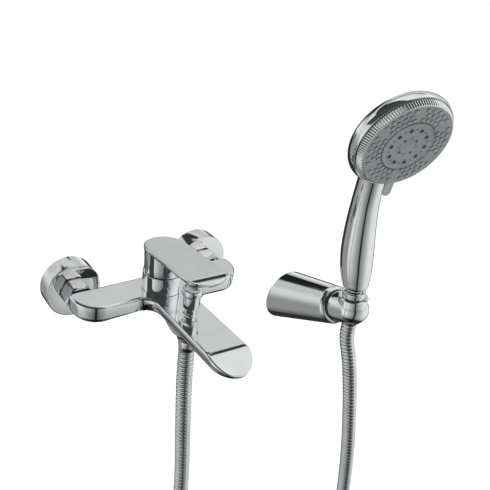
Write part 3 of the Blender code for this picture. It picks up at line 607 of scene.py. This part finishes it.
def make_body():
    """The bar and spout as one skin of matching levels, closed above and below by strips."""
    bm = bmesh.new()
    levels = side_levels()
    top_inner = right_half(*levels[0], extra=0.35)
    rows = [mirrored_row(bm, half) for half in [top_inner] + [right_half(*level) for level in levels]]
    bridge_rows(bm, rows)
    cap_across(bm, rows[0])
    cap_across(bm, rows[-1])
    link("mixer_body", bm, "chrome", "fixed", "faucet_body", angle=50.0)
    make_hose_boss()
    seat = [(17.8, 2.0), (17.8, 27.0, 0.4), (14.4, 27.0, 0.4), (14.4, 3.2)]
    link("cartridge_seat", turned(seat, Matrix.Translation(CARTRIDGE)), "chrome", "fixed")


def make_hose_boss():
    """The neck that flares up into the spout, pressed in where it would be wider than the spout."""
    flare = [(23.0, 3.0), (22.3, 0.6), (20.6, -1.6), (18.0, -3.8), (15.4, -5.8), (13.2, -8.1), (11.7, -10.6),
             (10.6, -13.2), (10.0, -15.0)]
    profile = [(0.0, 3.0)] + smooth_values(flare, 3)
    profile += [(9.5, -15.35), (6.6, -15.4), (6.6, -22.9), (4.7, -22.9), (4.7, -14.0), (0.0, -13.0)]
    bm = lathe(profile, Matrix.Translation(DIVERTER), closed=False)
    for vert in bm.verts:
        limit = 16.8 + 1.4 * max(0.0, min(1.0, (-3.0 - vert.co.z) / 4.0))
        if vert.co.z > -7.0 and abs(vert.co.x) > limit:
            vert.co.x = math.copysign(limit, vert.co.x)
    link("hose_boss", bm, "chrome", "fixed", angle=40.0)


def cap_across(bm, row):
    """Close a mirrored loop: one face over the bar, and strips from side to side over the spout."""
    right, left = halves(row)
    count = len(right)
    widest = max(range(count), key=lambda k: right[k].co.x)
    bar_front = next(k for k in range(widest, count)
                     if right[k].co.y < BAR_FRONT + 8.0 and right[k].co.x < 60.0)
    bm.faces.new(list(reversed(left[1:bar_front + 1])) + right[:bar_front + 1])
    strips(bm, right, left, bar_front)


def strips(bm, right, left, start):
    """Faces from side to side, from a place on the two halves to where the halves meet."""
    last = len(right) - 1
    for k in range(start, last - 1):
        bm.faces.new([right[k], right[k + 1], left[k + 1], left[k]])
    bm.faces.new([right[last - 1], right[last], left[last - 1]])


# ---- cartridge cover and lever

def make_trim():
    trim = [(19.6, 12.3, 0.15), (19.6, TRIM_TOP, 0.8), (11.5, TRIM_TOP, 0.5), (11.5, TRIM_TOP - 1.4),
            (18.1, TRIM_TOP - 1.4, 0.4), (18.1, 12.3)]
    cover = turned(trim, Matrix.Translation(CARTRIDGE), 128)
    link("trim_ring_cover", cover, "chrome", "fixed", "trim_ring")


def lever_top(y_rel):
    """The height of the paddle's upper face, which rises towards its tip."""
    return LEVER_TOP_BACK - LEVER_RISE * y_rel


def lever_curl(y_rel):
    """How far the paddle's tip bends down."""
    past = max(0.0, -y_rel - (LEVER_LENGTH - LEVER_TIP_REACH))
    return 0.17 * past + 0.0109 * past ** 2


def lever_half(drop, inset):
    """Right half of one level of the paddle, from the middle of the back to the middle of the tip."""
    width = LEVER_HALF_WIDTH - inset
    points = [(width * math.cos(a), width * math.sin(a)) for a in arc(90, 0, 32)]
    shoulder = LEVER_TIP_REACH + inset - LEVER_LENGTH
    tip = width - 0.5
    for t in (0.12, 0.25, 0.4, 0.55, 0.7, 0.85, 0.94):
        points.append((width + (tip - width) * t, shoulder * t))
    for k in range(29):
        a = math.radians(90.0 * k / 28)
        x = tip * math.cos(a) ** 0.92 if k < 28 else 0.0
        points.append((x, shoulder - LEVER_TIP_REACH * math.sin(a)))
    return [(x, CARTRIDGE.y + y, lever_top(y) - drop - lever_curl(y)) for x, y in points]


def make_lever():
    bm = bmesh.new()
    levels = [(0.0, 1.3), (0.0, 1.0), (0.05, 0.66), (0.18, 0.36), (0.4, 0.13), (0.72, 0.02), (1.2, 0.0),
              (2.4, 0.05), (3.4, 0.25), (4.1, 0.6), (4.45, 1.05), (4.6, 1.6)]
    rows = [mirrored_row(bm, lever_half(drop, inset)) for drop, inset in levels]
    bridge_rows(bm, rows)
    for row in (rows[0], rows[-1]):
        right, left = halves(row)
        bm.faces.new([right[0], right[1], left[1]])
        strips(bm, right, left, 1)
    lever_skirt(bm)
    post = [(0.0, 36.5), (7.6, 36.5), (8.0, 36.9), (8.0, 51.0), (0.0, 51.0)]
    lathe(post, Matrix.Translation(CARTRIDGE), 48, bm=bm)
    link("lever_paddle", bm, "chrome", "lever", "lever_handle", angle=38.0)
    plug = [(0.0, 19.75), (2.5, 19.7), (2.9, 19.45), (3.1, 19.1), (3.1, 17.9), (0.0, 17.9)]
    at_back = aim(CARTRIDGE + 42.0 * UP, -OUT)
    link("index_plug_cap", lathe(plug, at_back, 48), "grey_plastic", "lever", "index_plug")


def lever_skirt(bm):
    """The round wall under the paddle. Its lower edge is flat in front and slopes up at the back."""
    flat = TRIM_TOP + 0.4
    rise = flat - STEM_PIVOT_Z
    start = (rise * math.cos(LEVER_LIFT) - rise + 0.1) / math.sin(LEVER_LIFT)
    top = 54.0
    # Radius, share of the way up from the lower edge, and lift above it. None stands for a flat level.
    profile = [(16.9, None, 52.0), (16.6, 0.0, 0.5), (16.9, 0.0, 0.1), (18.2, 0.0, 0.0), (18.5, 0.0, 0.15),
               (18.6, 0.0, 0.5), (18.75, 0.33, 0.0), (18.95, 0.6, 0.0), (19.15, 0.85, 0.0),
               (19.4, None, top)]
    rows = []
    for radius, share, lift in profile:
        row = ring(bm, radius, 0.0, 128, Matrix.Translation(CARTRIDGE))
        for vert in row:
            bottom = flat + max(0.0, vert.co.y - CARTRIDGE.y - start) * math.tan(LEVER_LIFT)
            vert.co.z = lift if share is None else bottom + lift + share * (top - bottom)
        rows.append(row)
    bridge_rows(bm, rows)


# ---- diverter, aerator, hose nut

def make_diverter():
    here = Matrix.Translation(DIVERTER)
    knob = [(0.0, 39.25), (5.0, 39.4), (8.1, 39.4), (8.6, 39.3), (8.95, 39.0), (9.1, 38.5), (9.1, 33.2),
            (8.95, 32.8), (8.6, 32.5), (8.0, 32.2), (7.7, 31.8), (7.7, 21.0), (7.5, 20.4), (7.0, 19.4),
            (6.5, 18.7), (6.1, 18.5), (2.7, 18.5), (2.7, 31.0), (0.0, 31.0)]
    link("diverter_knob_cap", lathe(knob, here), "chrome", "diverter", "diverter_knob")
    bonnet = [(2.7, 4.2), (6.9, 4.2), (6.9, 12.7), (6.7, 13.0), (6.3, 13.25), (5.6, 13.35), (5.3, 13.6),
              (5.2, 14.0), (5.2, 17.8), (4.9, 18.15), (2.7, 18.2)]
    link("diverter_bonnet_neck", lathe(bonnet, here, 72), "chrome", "fixed", "diverter_bonnet")
    make_spring()


def make_spring():
    """The coil that pushes the diverter down."""
    top, bottom, radius, wire = 3.7, -10.3, 4.6, 0.45
    turns, per_turn, sides, pressed = 4, 32, 10, 5.0
    bm = bmesh.new()
    rows = []
    angles = [2 * math.pi * j / sides for j in range(sides)]
    for k in range(turns * per_turn + 1):
        around = 2 * math.pi * k / per_turn
        level = bottom + wire + (top - bottom - 2 * wire) * k / (turns * per_turn)
        outward = Vector((math.cos(around), math.sin(around), 0.0))
        centre = DIVERTER + radius * outward + level * UP
        rows.append([bm.verts.new(centre + wire * (math.cos(a) * outward + math.sin(a) * UP))
                     for a in angles])
    bridge_rows(bm, rows, ends=True)
    spring = link("diverter_coil", bm, "steel", "fixed", "diverter_spring", angle=80.0, merge=False)
    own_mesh(spring)


def make_aerator():
    here = Matrix.Translation(AERATOR)
    housing = [(11.0, 1.8), (11.0, -6.4), (10.9, -6.8), (10.6, -7.1), (10.2, -7.2), (9.8, -7.1),
               (9.5, -6.7), (9.5, 1.8)]
    link("aerator_ring", lathe(housing, here), "chrome", "fixed", "aerator_housing")
    bm = lathe([(0.0, 1.0), (9.2, 1.0), (9.2, -6.3), (8.6, -6.4), (8.0, -5.6), (0.0, -5.6)], here, 72)
    bar = 0.28
    for k in range(-6, 7):
        offset = 1.2 * k
        reach = math.sqrt(8.3 ** 2 - offset ** 2)
        slab(bm, here, (-reach, offset - bar, -6.35), (reach, offset + bar, -5.4))
        slab(bm, here, (offset - bar, -reach, -6.25), (offset + bar, reach, -5.4))
    link("aerator_mesh", bm, "grey_plastic", "fixed", "aerator_insert", angle=25.0, merge=False)


def slab(bm, place, low, high):
    """A box between two opposite corners."""
    (x0, y0, z0), (x1, y1, z1) = low, high
    corners = [bm.verts.new(place @ Vector((x, y, z)))
               for z in (z0, z1) for x, y in ((x0, y0), (x1, y0), (x1, y1), (x0, y1))]
    for face in ((3, 2, 1, 0), (4, 5, 6, 7), (0, 1, 5, 4), (1, 2, 6, 5), (2, 3, 7, 6), (3, 0, 4, 7)):
        bm.faces.new([corners[k] for k in face])


def make_hose_nut():
    """A smooth round nut over the hose's end."""
    nut = [(8.1, -15.7), (8.25, -16.1), (8.3, -17.0), (8.3, -21.5), (8.15, -23.0), (7.9, -24.5),
           (7.6, -26.2), (7.35, -27.0), (7.1, -27.2), (3.4, -27.2), (3.4, -24.9), (6.9, -24.9), (6.9, -15.7)]
    link("hose_nut", lathe(nut, Matrix.Translation(DIVERTER), 72), "chrome", "fixed", "hose_union_nut")


# ---- wall bracket and holder

def make_bracket():
    """A tapered arm whose wall end lies flat on the wall."""
    along = aim(BRACKET, ARM)
    slope = (CONE_WALL_RADIUS - CONE_FRONT_RADIUS) / CONE_LENGTH
    segments = 144
    end, edge = CONE_LENGTH, CONE_EDGE
    front = []
    for a in arc(0, 90, 9):
        radius = CONE_FRONT_RADIUS + slope * edge - (1 - math.cos(a)) * edge * 0.9
        front.append((radius, end - edge * (1 - math.sin(a))))
    front += [(2.9, end), (2.9, end - 9.0), (15.0, end - 9.0), (19.0, end - 18.0)]
    bm = bmesh.new()

    def wall_ring(inner):
        """Where the cone meets the wall on each way out from the arm's axis: way, place and radius."""
        found = []
        for k in range(segments):
            a = 2 * math.pi * k / segments
            radial = (along.to_3x3() @ Vector((math.cos(a), math.sin(a), 0))).normalized()
            base = CONE_WALL_RADIUS - inner
            s = -base * radial.y / (ARM.y - slope * radial.y)
            found.append((radial, s, base - slope * s))
        return found

    def point(s, radial, radius, out=0.0):
        return bm.verts.new(BRACKET + s * ARM + radius * radial + out * OUT)

    outer = wall_ring(0.0)
    rows = [[point(s, radial, r, 0.02) for radial, s, r in wall_ring(2.6)],
            [point(s, radial, r - 0.25, 0.02) for radial, s, r in outer]]
    for share in (0.006, 0.03, 0.2, 0.4, 0.6, 0.8):
        row = []
        for radial, s, _ in outer:
            here = s + (end - edge - s) * share
            row.append(point(here, radial, CONE_WALL_RADIUS - slope * here))
        rows.append(row)
    rows += [ring(bm, radius, height, segments, along) for radius, height in front]
    bridge_rows(bm, rows, round_again=True)
    link("bracket_cone", bm, "chrome", "fixed", "bracket_base", angle=40.0)
    seam = [(18.1, end + 0.35, 0.5), (18.1, end + 2.35, 0.5), (2.9, end + 2.35), (2.9, end + 0.35)]
    link("swivel_gap_ring", turned(seam, along), "black_plastic", "fixed", "swivel_ring")


def make_holder():
    """A domed barrel on the arm's axis, with a raised lip, a tapered socket and a slot for the hose."""
    r = HOLDER_RADIUS
    start = CONE_LENGTH + 2.7
    profile = [(0.0, start), (16.6, start), (17.1, start + 0.1), (17.4, start + 0.4), (r, start + 0.9),
               (r, 94.0), (r, 100.0)]
    profile += [(r * math.cos(a), ARM_REACH + r * math.sin(a)) for a in arc(0, 85, 17)]
    profile.append((0.0, ARM_REACH + r))
    barrel = lathe(profile, aim(BRACKET, ARM), 128)
    holder = link("holder_shell", barrel, "chrome", "holder", "swivel_holder")
    place = socket_place()
    lip, top = SOCKET_LIP_RADIUS, SOCKET_LIP_TOP
    collar = [(0, 2.0), (lip, 2.0), (lip, top - 1.0), (lip - 0.3, top - 0.3), (lip - 1.0, top), (0, top)]
    boolean(holder, lathe(collar, place), "UNION")
    boolean(holder, lathe([(0, -26.0), (9.45, -26.0), (12.85, 26.0), (0, 26.0)], place))
    slot = bmesh.new()
    slab(slot, place @ Matrix.Rotation(SLOT_TURN, 4, "Z"), (0.0, -8.2, -26.0), (26.0, 8.2, 26.0))
    boolean(holder, slot)
    soft_edge = holder.modifiers.new("soft_edge", "BEVEL")
    soft_edge.width = 0.45 * MM
    soft_edge.segments = 3
    soft_edge.limit_method = "ANGLE"
    soft_edge.angle_limit = math.radians(38)


def make_cone_nut():
    nut = [(11.3, 24.9), (11.6, 24.75), (11.85, 24.3), (11.9, 23.6), (11.55, 17.5), (9.6, -16.6),
           (9.4, -16.95), (9.0, -17.0), (8.4, -17.0), (8.4, 11.6), (3.2, 11.6), (3.2, 13.0), (5.6, 13.0),
           (5.6, 24.9)]
    link("cone_nut_shell", lathe(nut, socket_place()), "chrome", "hose_end", "hose_cone_nut")


# ---- hand shower

def handset_place():
    return socket_place() @ Matrix.Translation((0, 0, HANDSET_BASE)) @ Matrix.Rotation(HANDSET_TURN, 4, "Z")


def face_place():
    centre = Vector((0.0, -FACE_FORWARD, FACE_HEIGHT))
    into_head = Vector((0.0, math.cos(FACE_TILT), math.sin(FACE_TILT)))
    return handset_place() @ aim(centre, into_head)


HANDLE_SECTIONS = (  # height, half-width, half-depth, how far the centre lies behind the socket's axis
    (4.0, 13.3, 13.3, 0.7), (20.0, 15.4, 15.3, 3.1), (41.0, 16.1, 15.9, 5.3), (68.0, 15.0, 14.9, 6.2),
    (97.0, 13.4, 13.2, 5.0), (123.0, 12.6, 12.4, 1.7), (140.0, 13.0, 12.0, -1.4), (154.0, 12.8, 10.4, -5.0),
    (166.0, 11.0, 7.0, -8.5), (176.0, 8.0, 4.0, -11.0),
)


def make_handset():
    make_handle()
    make_head_shell()
    collar = [(5.2, 9.0), (5.2, -0.3), (7.6, -0.3), (7.9, -0.6), (7.9, -3.1), (7.6, -3.4), (5.2, -3.4),
              (5.2, -13.6), (3.2, -13.6), (3.2, 9.0)]
    link("nipple_collar", lathe(collar, handset_place(), 64), "chrome", "handset", "handset_nipple")


def make_handle():
    place = handset_place()
    bm = bmesh.new()
    sections = [(0.0, 5.6, 5.6, 0.0), (0.0, 8.6, 8.6, 0.0), (0.05, 10.2, 10.2, 0.05),
                (0.35, 11.2, 11.2, 0.1), (1.0, 12.1, 12.1, 0.2), (2.2, 12.9, 12.9, 0.45)]
    sections += smooth_values(HANDLE_SECTIONS, 8)
    segments = 72
    angles = [2 * math.pi * k / segments for k in range(segments)]
    rows = []
    for height, wide, deep, behind in sections:
        around = [(wide * math.cos(a), behind + deep * math.sin(a), height) for a in angles]
        rows.append([bm.verts.new(place @ Vector(p)) for p in around])
    bridge_rows(bm, rows, ends=True)
    link("shower_handle", bm, "chrome", "handset", "handset_shell", angle=45.0)


def make_head_shell():
    inside = [(0.0, 16.3), (42.6, 16.3), (42.6, 10.7), (45.1, 10.7), (45.1, 6.8), (45.35, 6.5), (45.8, 6.42)]
    back = [(46.2, 6.7), (46.9, 8.6), (47.35, 10.8), (47.3, 13.2), (46.7, 15.8), (45.6, 18.0), (44.2, 20.0),
            (42.0, 22.0), (38.6, 24.4), (34.0, 27.0), (27.6, 29.5), (20.0, 31.2), (10.0, 32.3), (0.0, 32.5)]
    profile = inside + smooth_values(back, 3)
    link("shower_head_shell", lathe(profile, face_place(), 160), "chrome", "handset", angle=40.0)


def make_dial():
    """The chrome rim, the satin face with its nozzles, the raised centre with its jets, and the tab."""
    place = face_place()
    make_rim(place)
    face = [(0.0, 3.2), (40.6, 3.2), (40.85, 3.0), (40.85, 0.5), (40.75, 0.2), (40.5, 0.03), (40.0, 0.0),
            (25.6, 0.0), (25.0, 0.15), (24.7, 0.6), (24.6, 1.4), (0.0, 1.4)]
    link("spray_face_plate", lathe(face, place, 160), "spray_face", "dial", "spray_dial", angle=40.0)
    disc = [(0.0, 1.2), (23.8, 1.2), (24.1, 0.9), (24.15, 0.3), (24.0, -0.35), (23.6, -0.65), (23.0, -0.7),
            (22.5, -0.5), (22.1, -0.2), (21.6, -0.1), (0.0, -0.1)]
    centre = lathe(disc, place, 128)
    link("spray_centre_plate", centre, "spray_face", "dial", "spray_centre_disc", angle=40.0)
    make_nozzles(place)
    make_jets(place)
    make_tab(place)


def make_rim(place):
    bm = bmesh.new()

    def knurl(angle):
        phase = (angle * DIAL_TEETH / (2 * math.pi)) % 1.0
        return 1.0 - 0.016 * (0.5 + 0.5 * math.cos(2 * math.pi * phase)) ** 1.5

    def rings(points, shape=None):
        return [ring(bm, radius, height, 8 * DIAL_TEETH, place, shape) for radius, height in points]

    rows = rings([(40.5, 9.9), (44.0, 9.9), (44.3, 9.6), (44.3, 6.6)])
    rows += rings([(KNURL_RADIUS, 6.2), (44.65, 5.6), (43.1, 2.6), (42.5, 1.3), (42.2, 0.8)], knurl)
    rows += rings([(41.75, 0.5), (41.6, 0.35), (41.4, 0.3), (41.0, 0.3), (41.0, 3.1), (40.5, 3.1)])
    bridge_rows(bm, rows, round_again=True)
    link("dial_knurled_rim", bm, "chrome", "dial", angle=28.0)


def make_nozzles(place):
    """Groups of soft raised nozzles round the outer zone, each a small dome beside a near-black disc set off
    to one side: a painted crescent shadow for the dome's shaded side.
    """
    domes, nozzle_shadows = bmesh.new(), bmesh.new()
    dome = [(0.0, -1.0), (1.1, -0.95), (1.6, -0.75), (1.82, -0.4), (1.88, 0.0), (1.88, 0.3), (0.0, 0.3)]
    # This near-black disc, set off from the dome, is a painted crescent shadow along one edge of the dome.
    seat = [(0.0, 0.2), (2.0, 0.2), (2.05, -0.05), (1.95, -0.1), (0.0, -0.1)]
    for group in range(NOZZLE_GROUPS):
        middle = NOZZLE_START + 2 * math.pi * group / NOZZLE_GROUPS
        for radius, count in NOZZLE_ROWS:
            for k in range(count):
                angle = middle + (k - (count - 1) / 2) * NOZZLE_PITCH
                x, y = radius * math.cos(angle), radius * math.sin(angle)
                lathe(dome, place @ Matrix.Translation((x, y, 0.0)), 20, bm=domes)
                shifted = Matrix.Translation((x + NOZZLE_SHADOW_SHIFT[0], y + NOZZLE_SHADOW_SHIFT[1], 0.0))
                lathe(seat, place @ shifted, 20, bm=nozzle_shadows)
    link("spray_nozzles", domes, "spray_nozzle", "dial", angle=60.0, merge=False)
    link("nozzle_crescent_shadows", nozzle_shadows, "painted_nozzle_shadow", "dial", angle=60.0, merge=False)


def make_jets(place):
    """Large rimmed jets with small holes between them, and clusters of fine holes in the middle. Every hole
    is a flat near-black disc on the face: painted shade for the inside of the hole.
    """
    rims, holes = bmesh.new(), bmesh.new()

    def jet(distance, angle, size, rimmed, centre=(0.0, 0.0)):
        x = centre[0] + distance * math.cos(angle)
        y = centre[1] + distance * math.sin(angle)
        at = place @ Matrix.Translation((x, y, -0.1))
        if rimmed:
            lathe([(size, 0.3), (size, -0.35), (size + 0.2, -0.5), (size + 0.5, -0.42), (size + 0.65, 0.0),
                   (size + 0.65, 0.3)], at, 24, bm=rims)
        # Each hole is a flat near-black disc: painted shade standing in for the hole's inside.
        lathe([(0.0, 0.4), (size, 0.4), (size, -0.06), (0.0, -0.06)], at, 20, bm=holes)

    for k in range(JETS):
        angle = JET_START + 2 * math.pi * k / JETS
        jet(17.2, angle, 1.85, True)
        jet(17.8, angle + math.pi / JETS, 0.85, False)
    for k in range(8):
        angle = JET_START + math.pi / 4 * k
        if k % 2:
            jet(8.4, angle, 1.15, True)
            continue
        middle = (8.4 * math.cos(angle), 8.4 * math.sin(angle))
        for j in range(3):
            jet(1.6, angle + 2 * math.pi * j / 3, 0.6, False, middle)
    link("jet_rims", rims, "spray_face", "dial", angle=60.0, merge=False)
    link("jet_shade_discs", holes, "painted_jet_shade", "dial", angle=60.0, merge=False)
    cap = [(0.0, -0.55), (2.2, -0.5), (2.9, -0.3), (3.1, 0.0), (3.1, 0.4), (0.0, 0.4)]
    link("centre_cap", lathe(cap, place, 48), "spray_face", "dial")


def make_tab(place):
    """A rounded tongue on the dial's edge, with softened edges."""
    turn = place @ Matrix.Rotation(TAB_ANGLE, 4, "Z")
    start, end, half = KNURL_RADIUS - 1.2, HEAD_RADIUS + TAB_REACH, TAB_HALF_WIDTH
    outline = [(start, -half), (start + 4.0, -half)]
    outline += [(end - half + half * math.cos(a), half * math.sin(a)) for a in arc(-90, 90, 18)]
    outline += [(start + 4.0, half), (start, half)]
    middle = (start + end) / 2
    bm = bmesh.new()
    rows = []
    for height, inset in ((2.9, 0.7), (2.8, 0.35), (2.85, 0.12), (3.15, 0.0), (5.45, 0.0), (5.72, 0.12),
                          (5.8, 0.4), (5.75, 0.7)):
        shrink = 1.0 - inset / 5.0
        rows.append([bm.verts.new(turn @ Vector((middle + (x - middle) * shrink, y * shrink, height)))
                     for x, y in outline])
    bridge_rows(bm, rows, ends=True)
    link("dial_tab_tongue", bm, "tab_plastic", "dial", "dial_tab", angle=50.0)


# ---- carried-over nodes, room and light

def finish_carried_nodes():
    """Give each CAD node that stays its own procedural finish, by its slot in the record."""
    for row in frame["record"]["subparts"]:
        mesh = frame["nodes"][row["node"]].data
        mesh.materials.clear()
        mesh.materials.append(MATERIALS[row["material_slot"]])


def make_room():
    floor = bpy.data.meshes.new("floor")
    size, level = 14.0, -0.66
    corners = [(x * size, y * size, level) for x, y in ((-1, -1), (1, -1), (1, 1), (-1, 1))]
    floor.from_pydata(corners, [], [(0, 1, 2, 3)])
    mat, tree, shader = node_material("pale_floor")
    grain = object_noise(tree, 3.0)
    tree.links.new(ramp(tree, grain, 0.93, 0.96), shader.inputs["Base Color"])
    shader.inputs["Roughness"].default_value = 0.9
    floor.materials.append(mat)
    obj = new_object("floor", floor)
    obj.visible_glossy = False


def area_light(name, location, target, size, power):
    data = bpy.data.lights.new(name, "AREA")
    data.shape = "RECTANGLE"
    data.size, data.size_y = size
    data.energy = power
    obj = new_object(name, data)
    obj.location = location
    obj.rotation_mode = "QUATERNION"
    obj.rotation_quaternion = (Vector(target) - Vector(location)).to_track_quat("-Z", "Y")
    obj.visible_camera = False
    obj.visible_glossy = False


# Brightness against height, from straight down (0) to straight up (1), in front of the set and behind
# it, and against the share of a half turn away from the front.
WORLD_FRONT = (
    (0.00, 0.03), (0.10, 0.03), (0.15, 0.50), (0.25, 0.80), (0.42, 0.92), (0.52, 0.80), (0.66, 0.66),
    (0.78, 0.95), (0.90, 0.80), (1.00, 0.85),
)
WORLD_BEHIND = (
    (0.00, 0.03), (0.40, 0.03), (0.46, 0.20), (0.49, 0.95), (0.60, 0.80), (0.64, 0.56), (0.73, 0.58),
    (0.80, 0.66), (0.838, 0.66), (0.848, 0.03), (0.872, 0.03), (0.885, 0.75), (1.00, 0.85),
)
WORLD_TURN = (
    (0.00, 0.02), (0.024, 0.03), (0.04, 0.26), (0.20, 0.58), (0.34, 0.95), (0.50, 1.0), (1.00, 1.0),
)
WORLD_FACING = math.radians(23.0)
WHITE = (1.0, 1.0, 1.0, 1.0)
# Flags in front of the backdrop: the way they face (0 is the front and 180 the back, in degrees), where
# their left and right edges fade in and out round from there, the same for their lower and upper edges as
# shares of the height, and their brightness.
WORLD_FLAGS = (
    (180.0, (-5.0, -2.5), (27.0, 38.0), (0.60, 0.635), (0.755, 0.77), 0.015),
    (180.0, (24.0, 32.0), (80.0, 90.0), (0.815, 0.835), (1.2, 1.3), 0.04),
    (0.0, (-110.0, -98.0), (30.0, 45.0), (0.64, 0.68), (1.2, 1.3), 0.06),
    (0.0, (-148.0, -138.0), (-92.0, -82.0), (-0.02, 0.10), (0.28, 0.62), 0.30),
    (180.0, (-12.0, -8.0), (12.0, 20.0), (0.40, 0.44), (0.61, 0.64), 0.06),
    (180.0, (-52.0, -46.0), (-25.0, -21.0), (0.40, 0.43), (0.56, 0.60), 0.05),
)


def stops(tree, table, value):
    """Carry a 0-1 value to the grey that a table of (value, grey) pairs gives."""
    node = tree.nodes.new("ShaderNodeValToRGB")
    elements = node.color_ramp.elements
    elements[0].position, elements[1].position = table[0][0], table[-1][0]
    elements[0].color = (table[0][1],) * 3 + (1.0,)
    elements[1].color = (table[-1][1],) * 3 + (1.0,)
    for position, level in table[1:-1]:
        element = elements.new(position)
        element.color = (level, level, level, 1.0)
    tree.links.new(value, node.inputs["Fac"])
    return node.outputs["Color"]


def feed(tree, socket, value):
    """Set a socket to a value, or link another node's output to it."""
    if isinstance(value, (float, tuple)):
        socket.default_value = value
    else:
        tree.links.new(value, socket)


def math_node(tree, operation, *values):
    node = tree.nodes.new("ShaderNodeMath")
    node.operation = operation
    for socket, value in zip(node.inputs, values):
        feed(tree, socket, value)
    return node.outputs[0]


def step(tree, value, start, end):
    """0 before start and 1 after end, smoothly."""
    node = tree.nodes.new("ShaderNodeMapRange")
    node.interpolation_type = "SMOOTHSTEP"
    node.inputs["From Min"].default_value = start
    node.inputs["From Max"].default_value = end
    tree.links.new(value, node.inputs["Value"])
    return node.outputs["Result"]


def mixed(tree, share, first, second, blend="MIX"):
    node = tree.nodes.new("ShaderNodeMix")
    node.data_type = "RGBA"
    node.blend_type = blend
    for index, value in ((0, share), (6, first), (7, second)):
        feed(tree, node.inputs[index], value)
    return node.outputs[2]


def flag(tree, turn, height, edges):
    """1 inside a soft-edged patch of the backdrop, 0 outside it."""
    facing, left, right, low, high = edges
    away = math_node(tree, "SUBTRACT", turn, math.radians(facing))
    away = math_node(tree, "WRAP", away, math.pi, -math.pi)
    left, right = [math.radians(a) for a in left], [math.radians(a) for a in right]
    share = step(tree, away, *left)
    for value, ends, falling in ((away, right, True), (height, low, False), (height, high, True)):
        edge = step(tree, value, *ends)
        if falling:
            edge = math_node(tree, "SUBTRACT", 1.0, edge)
        share = math_node(tree, "MULTIPLY", share, edge)
    return share


def make_world():
    """A pale studio with broad soft panels and dark gaps for the chrome to mirror, plain to the camera."""
    world = bpy.data.worlds.new("studio")
    bpy.context.scene.world = world
    world.use_nodes = True
    tree = world.node_tree
    background = tree.nodes["Background"]
    place = tree.nodes.new("ShaderNodeTexCoord")
    split = tree.nodes.new("ShaderNodeSeparateXYZ")
    tree.links.new(place.outputs["Generated"], split.inputs[0])
    x, y, z = split.outputs
    turn = math_node(tree, "ARCTAN2", x, math_node(tree, "MULTIPLY", y, -1.0))
    turn = math_node(tree, "ADD", turn, WORLD_FACING)
    around = math_node(tree, "WRAP", turn, math.pi, -math.pi)
    around = math_node(tree, "ABSOLUTE", around)
    around = math_node(tree, "DIVIDE", around, math.pi)
    height = math_node(tree, "MULTIPLY_ADD", z, 0.5, 0.5)
    in_front = stops(tree, WORLD_FRONT, height)
    behind = stops(tree, WORLD_BEHIND, height)
    shade = stops(tree, WORLD_TURN, around)
    level = mixed(tree, step(tree, height, 0.85, 0.95), shade, WHITE)
    in_front = mixed(tree, 1.0, in_front, level, "MULTIPLY")
    result = mixed(tree, step(tree, around, 0.64, 0.70), in_front, behind)
    for *edges, grey in WORLD_FLAGS:
        share = flag(tree, turn, height, edges)
        result = mixed(tree, share, result, (grey, grey, grey, 1.0))
    seen = tree.nodes.new("ShaderNodeLightPath").outputs["Is Camera Ray"]
    result = mixed(tree, seen, result, WHITE)
    tree.links.new(result, background.inputs["Color"])
    background.inputs["Strength"].default_value = 1.0


def make_lights():
    """Two soft side lights and a wide soft wash from above. The chrome mirrors none of them."""
    area_light("key", (-1.6, -1.6, 2.2), (0.1, -0.1, 0.0), (1.6, 1.2), 26.0)
    area_light("fill", (1.8, -1.4, 1.4), (0.1, -0.1, 0.0), (1.2, 1.6), 12.0)
    data = bpy.data.lights.new("wash", "SUN")
    data.energy = 2.2
    data.angle = math.radians(70.0)
    wash = new_object("wash", data)
    wash.visible_glossy = False


make_camera()
MATERIALS = make_materials()
make_hose()
make_inlets()
make_body()
make_trim()
make_lever()
make_diverter()
make_aerator()
make_hose_nut()
make_bracket()
make_holder()
make_cone_nut()
make_handset()
make_dial()
finish_carried_nodes()
make_room()
make_world()
make_lights()
bpy.context.scene.view_settings.view_transform = "Standard"
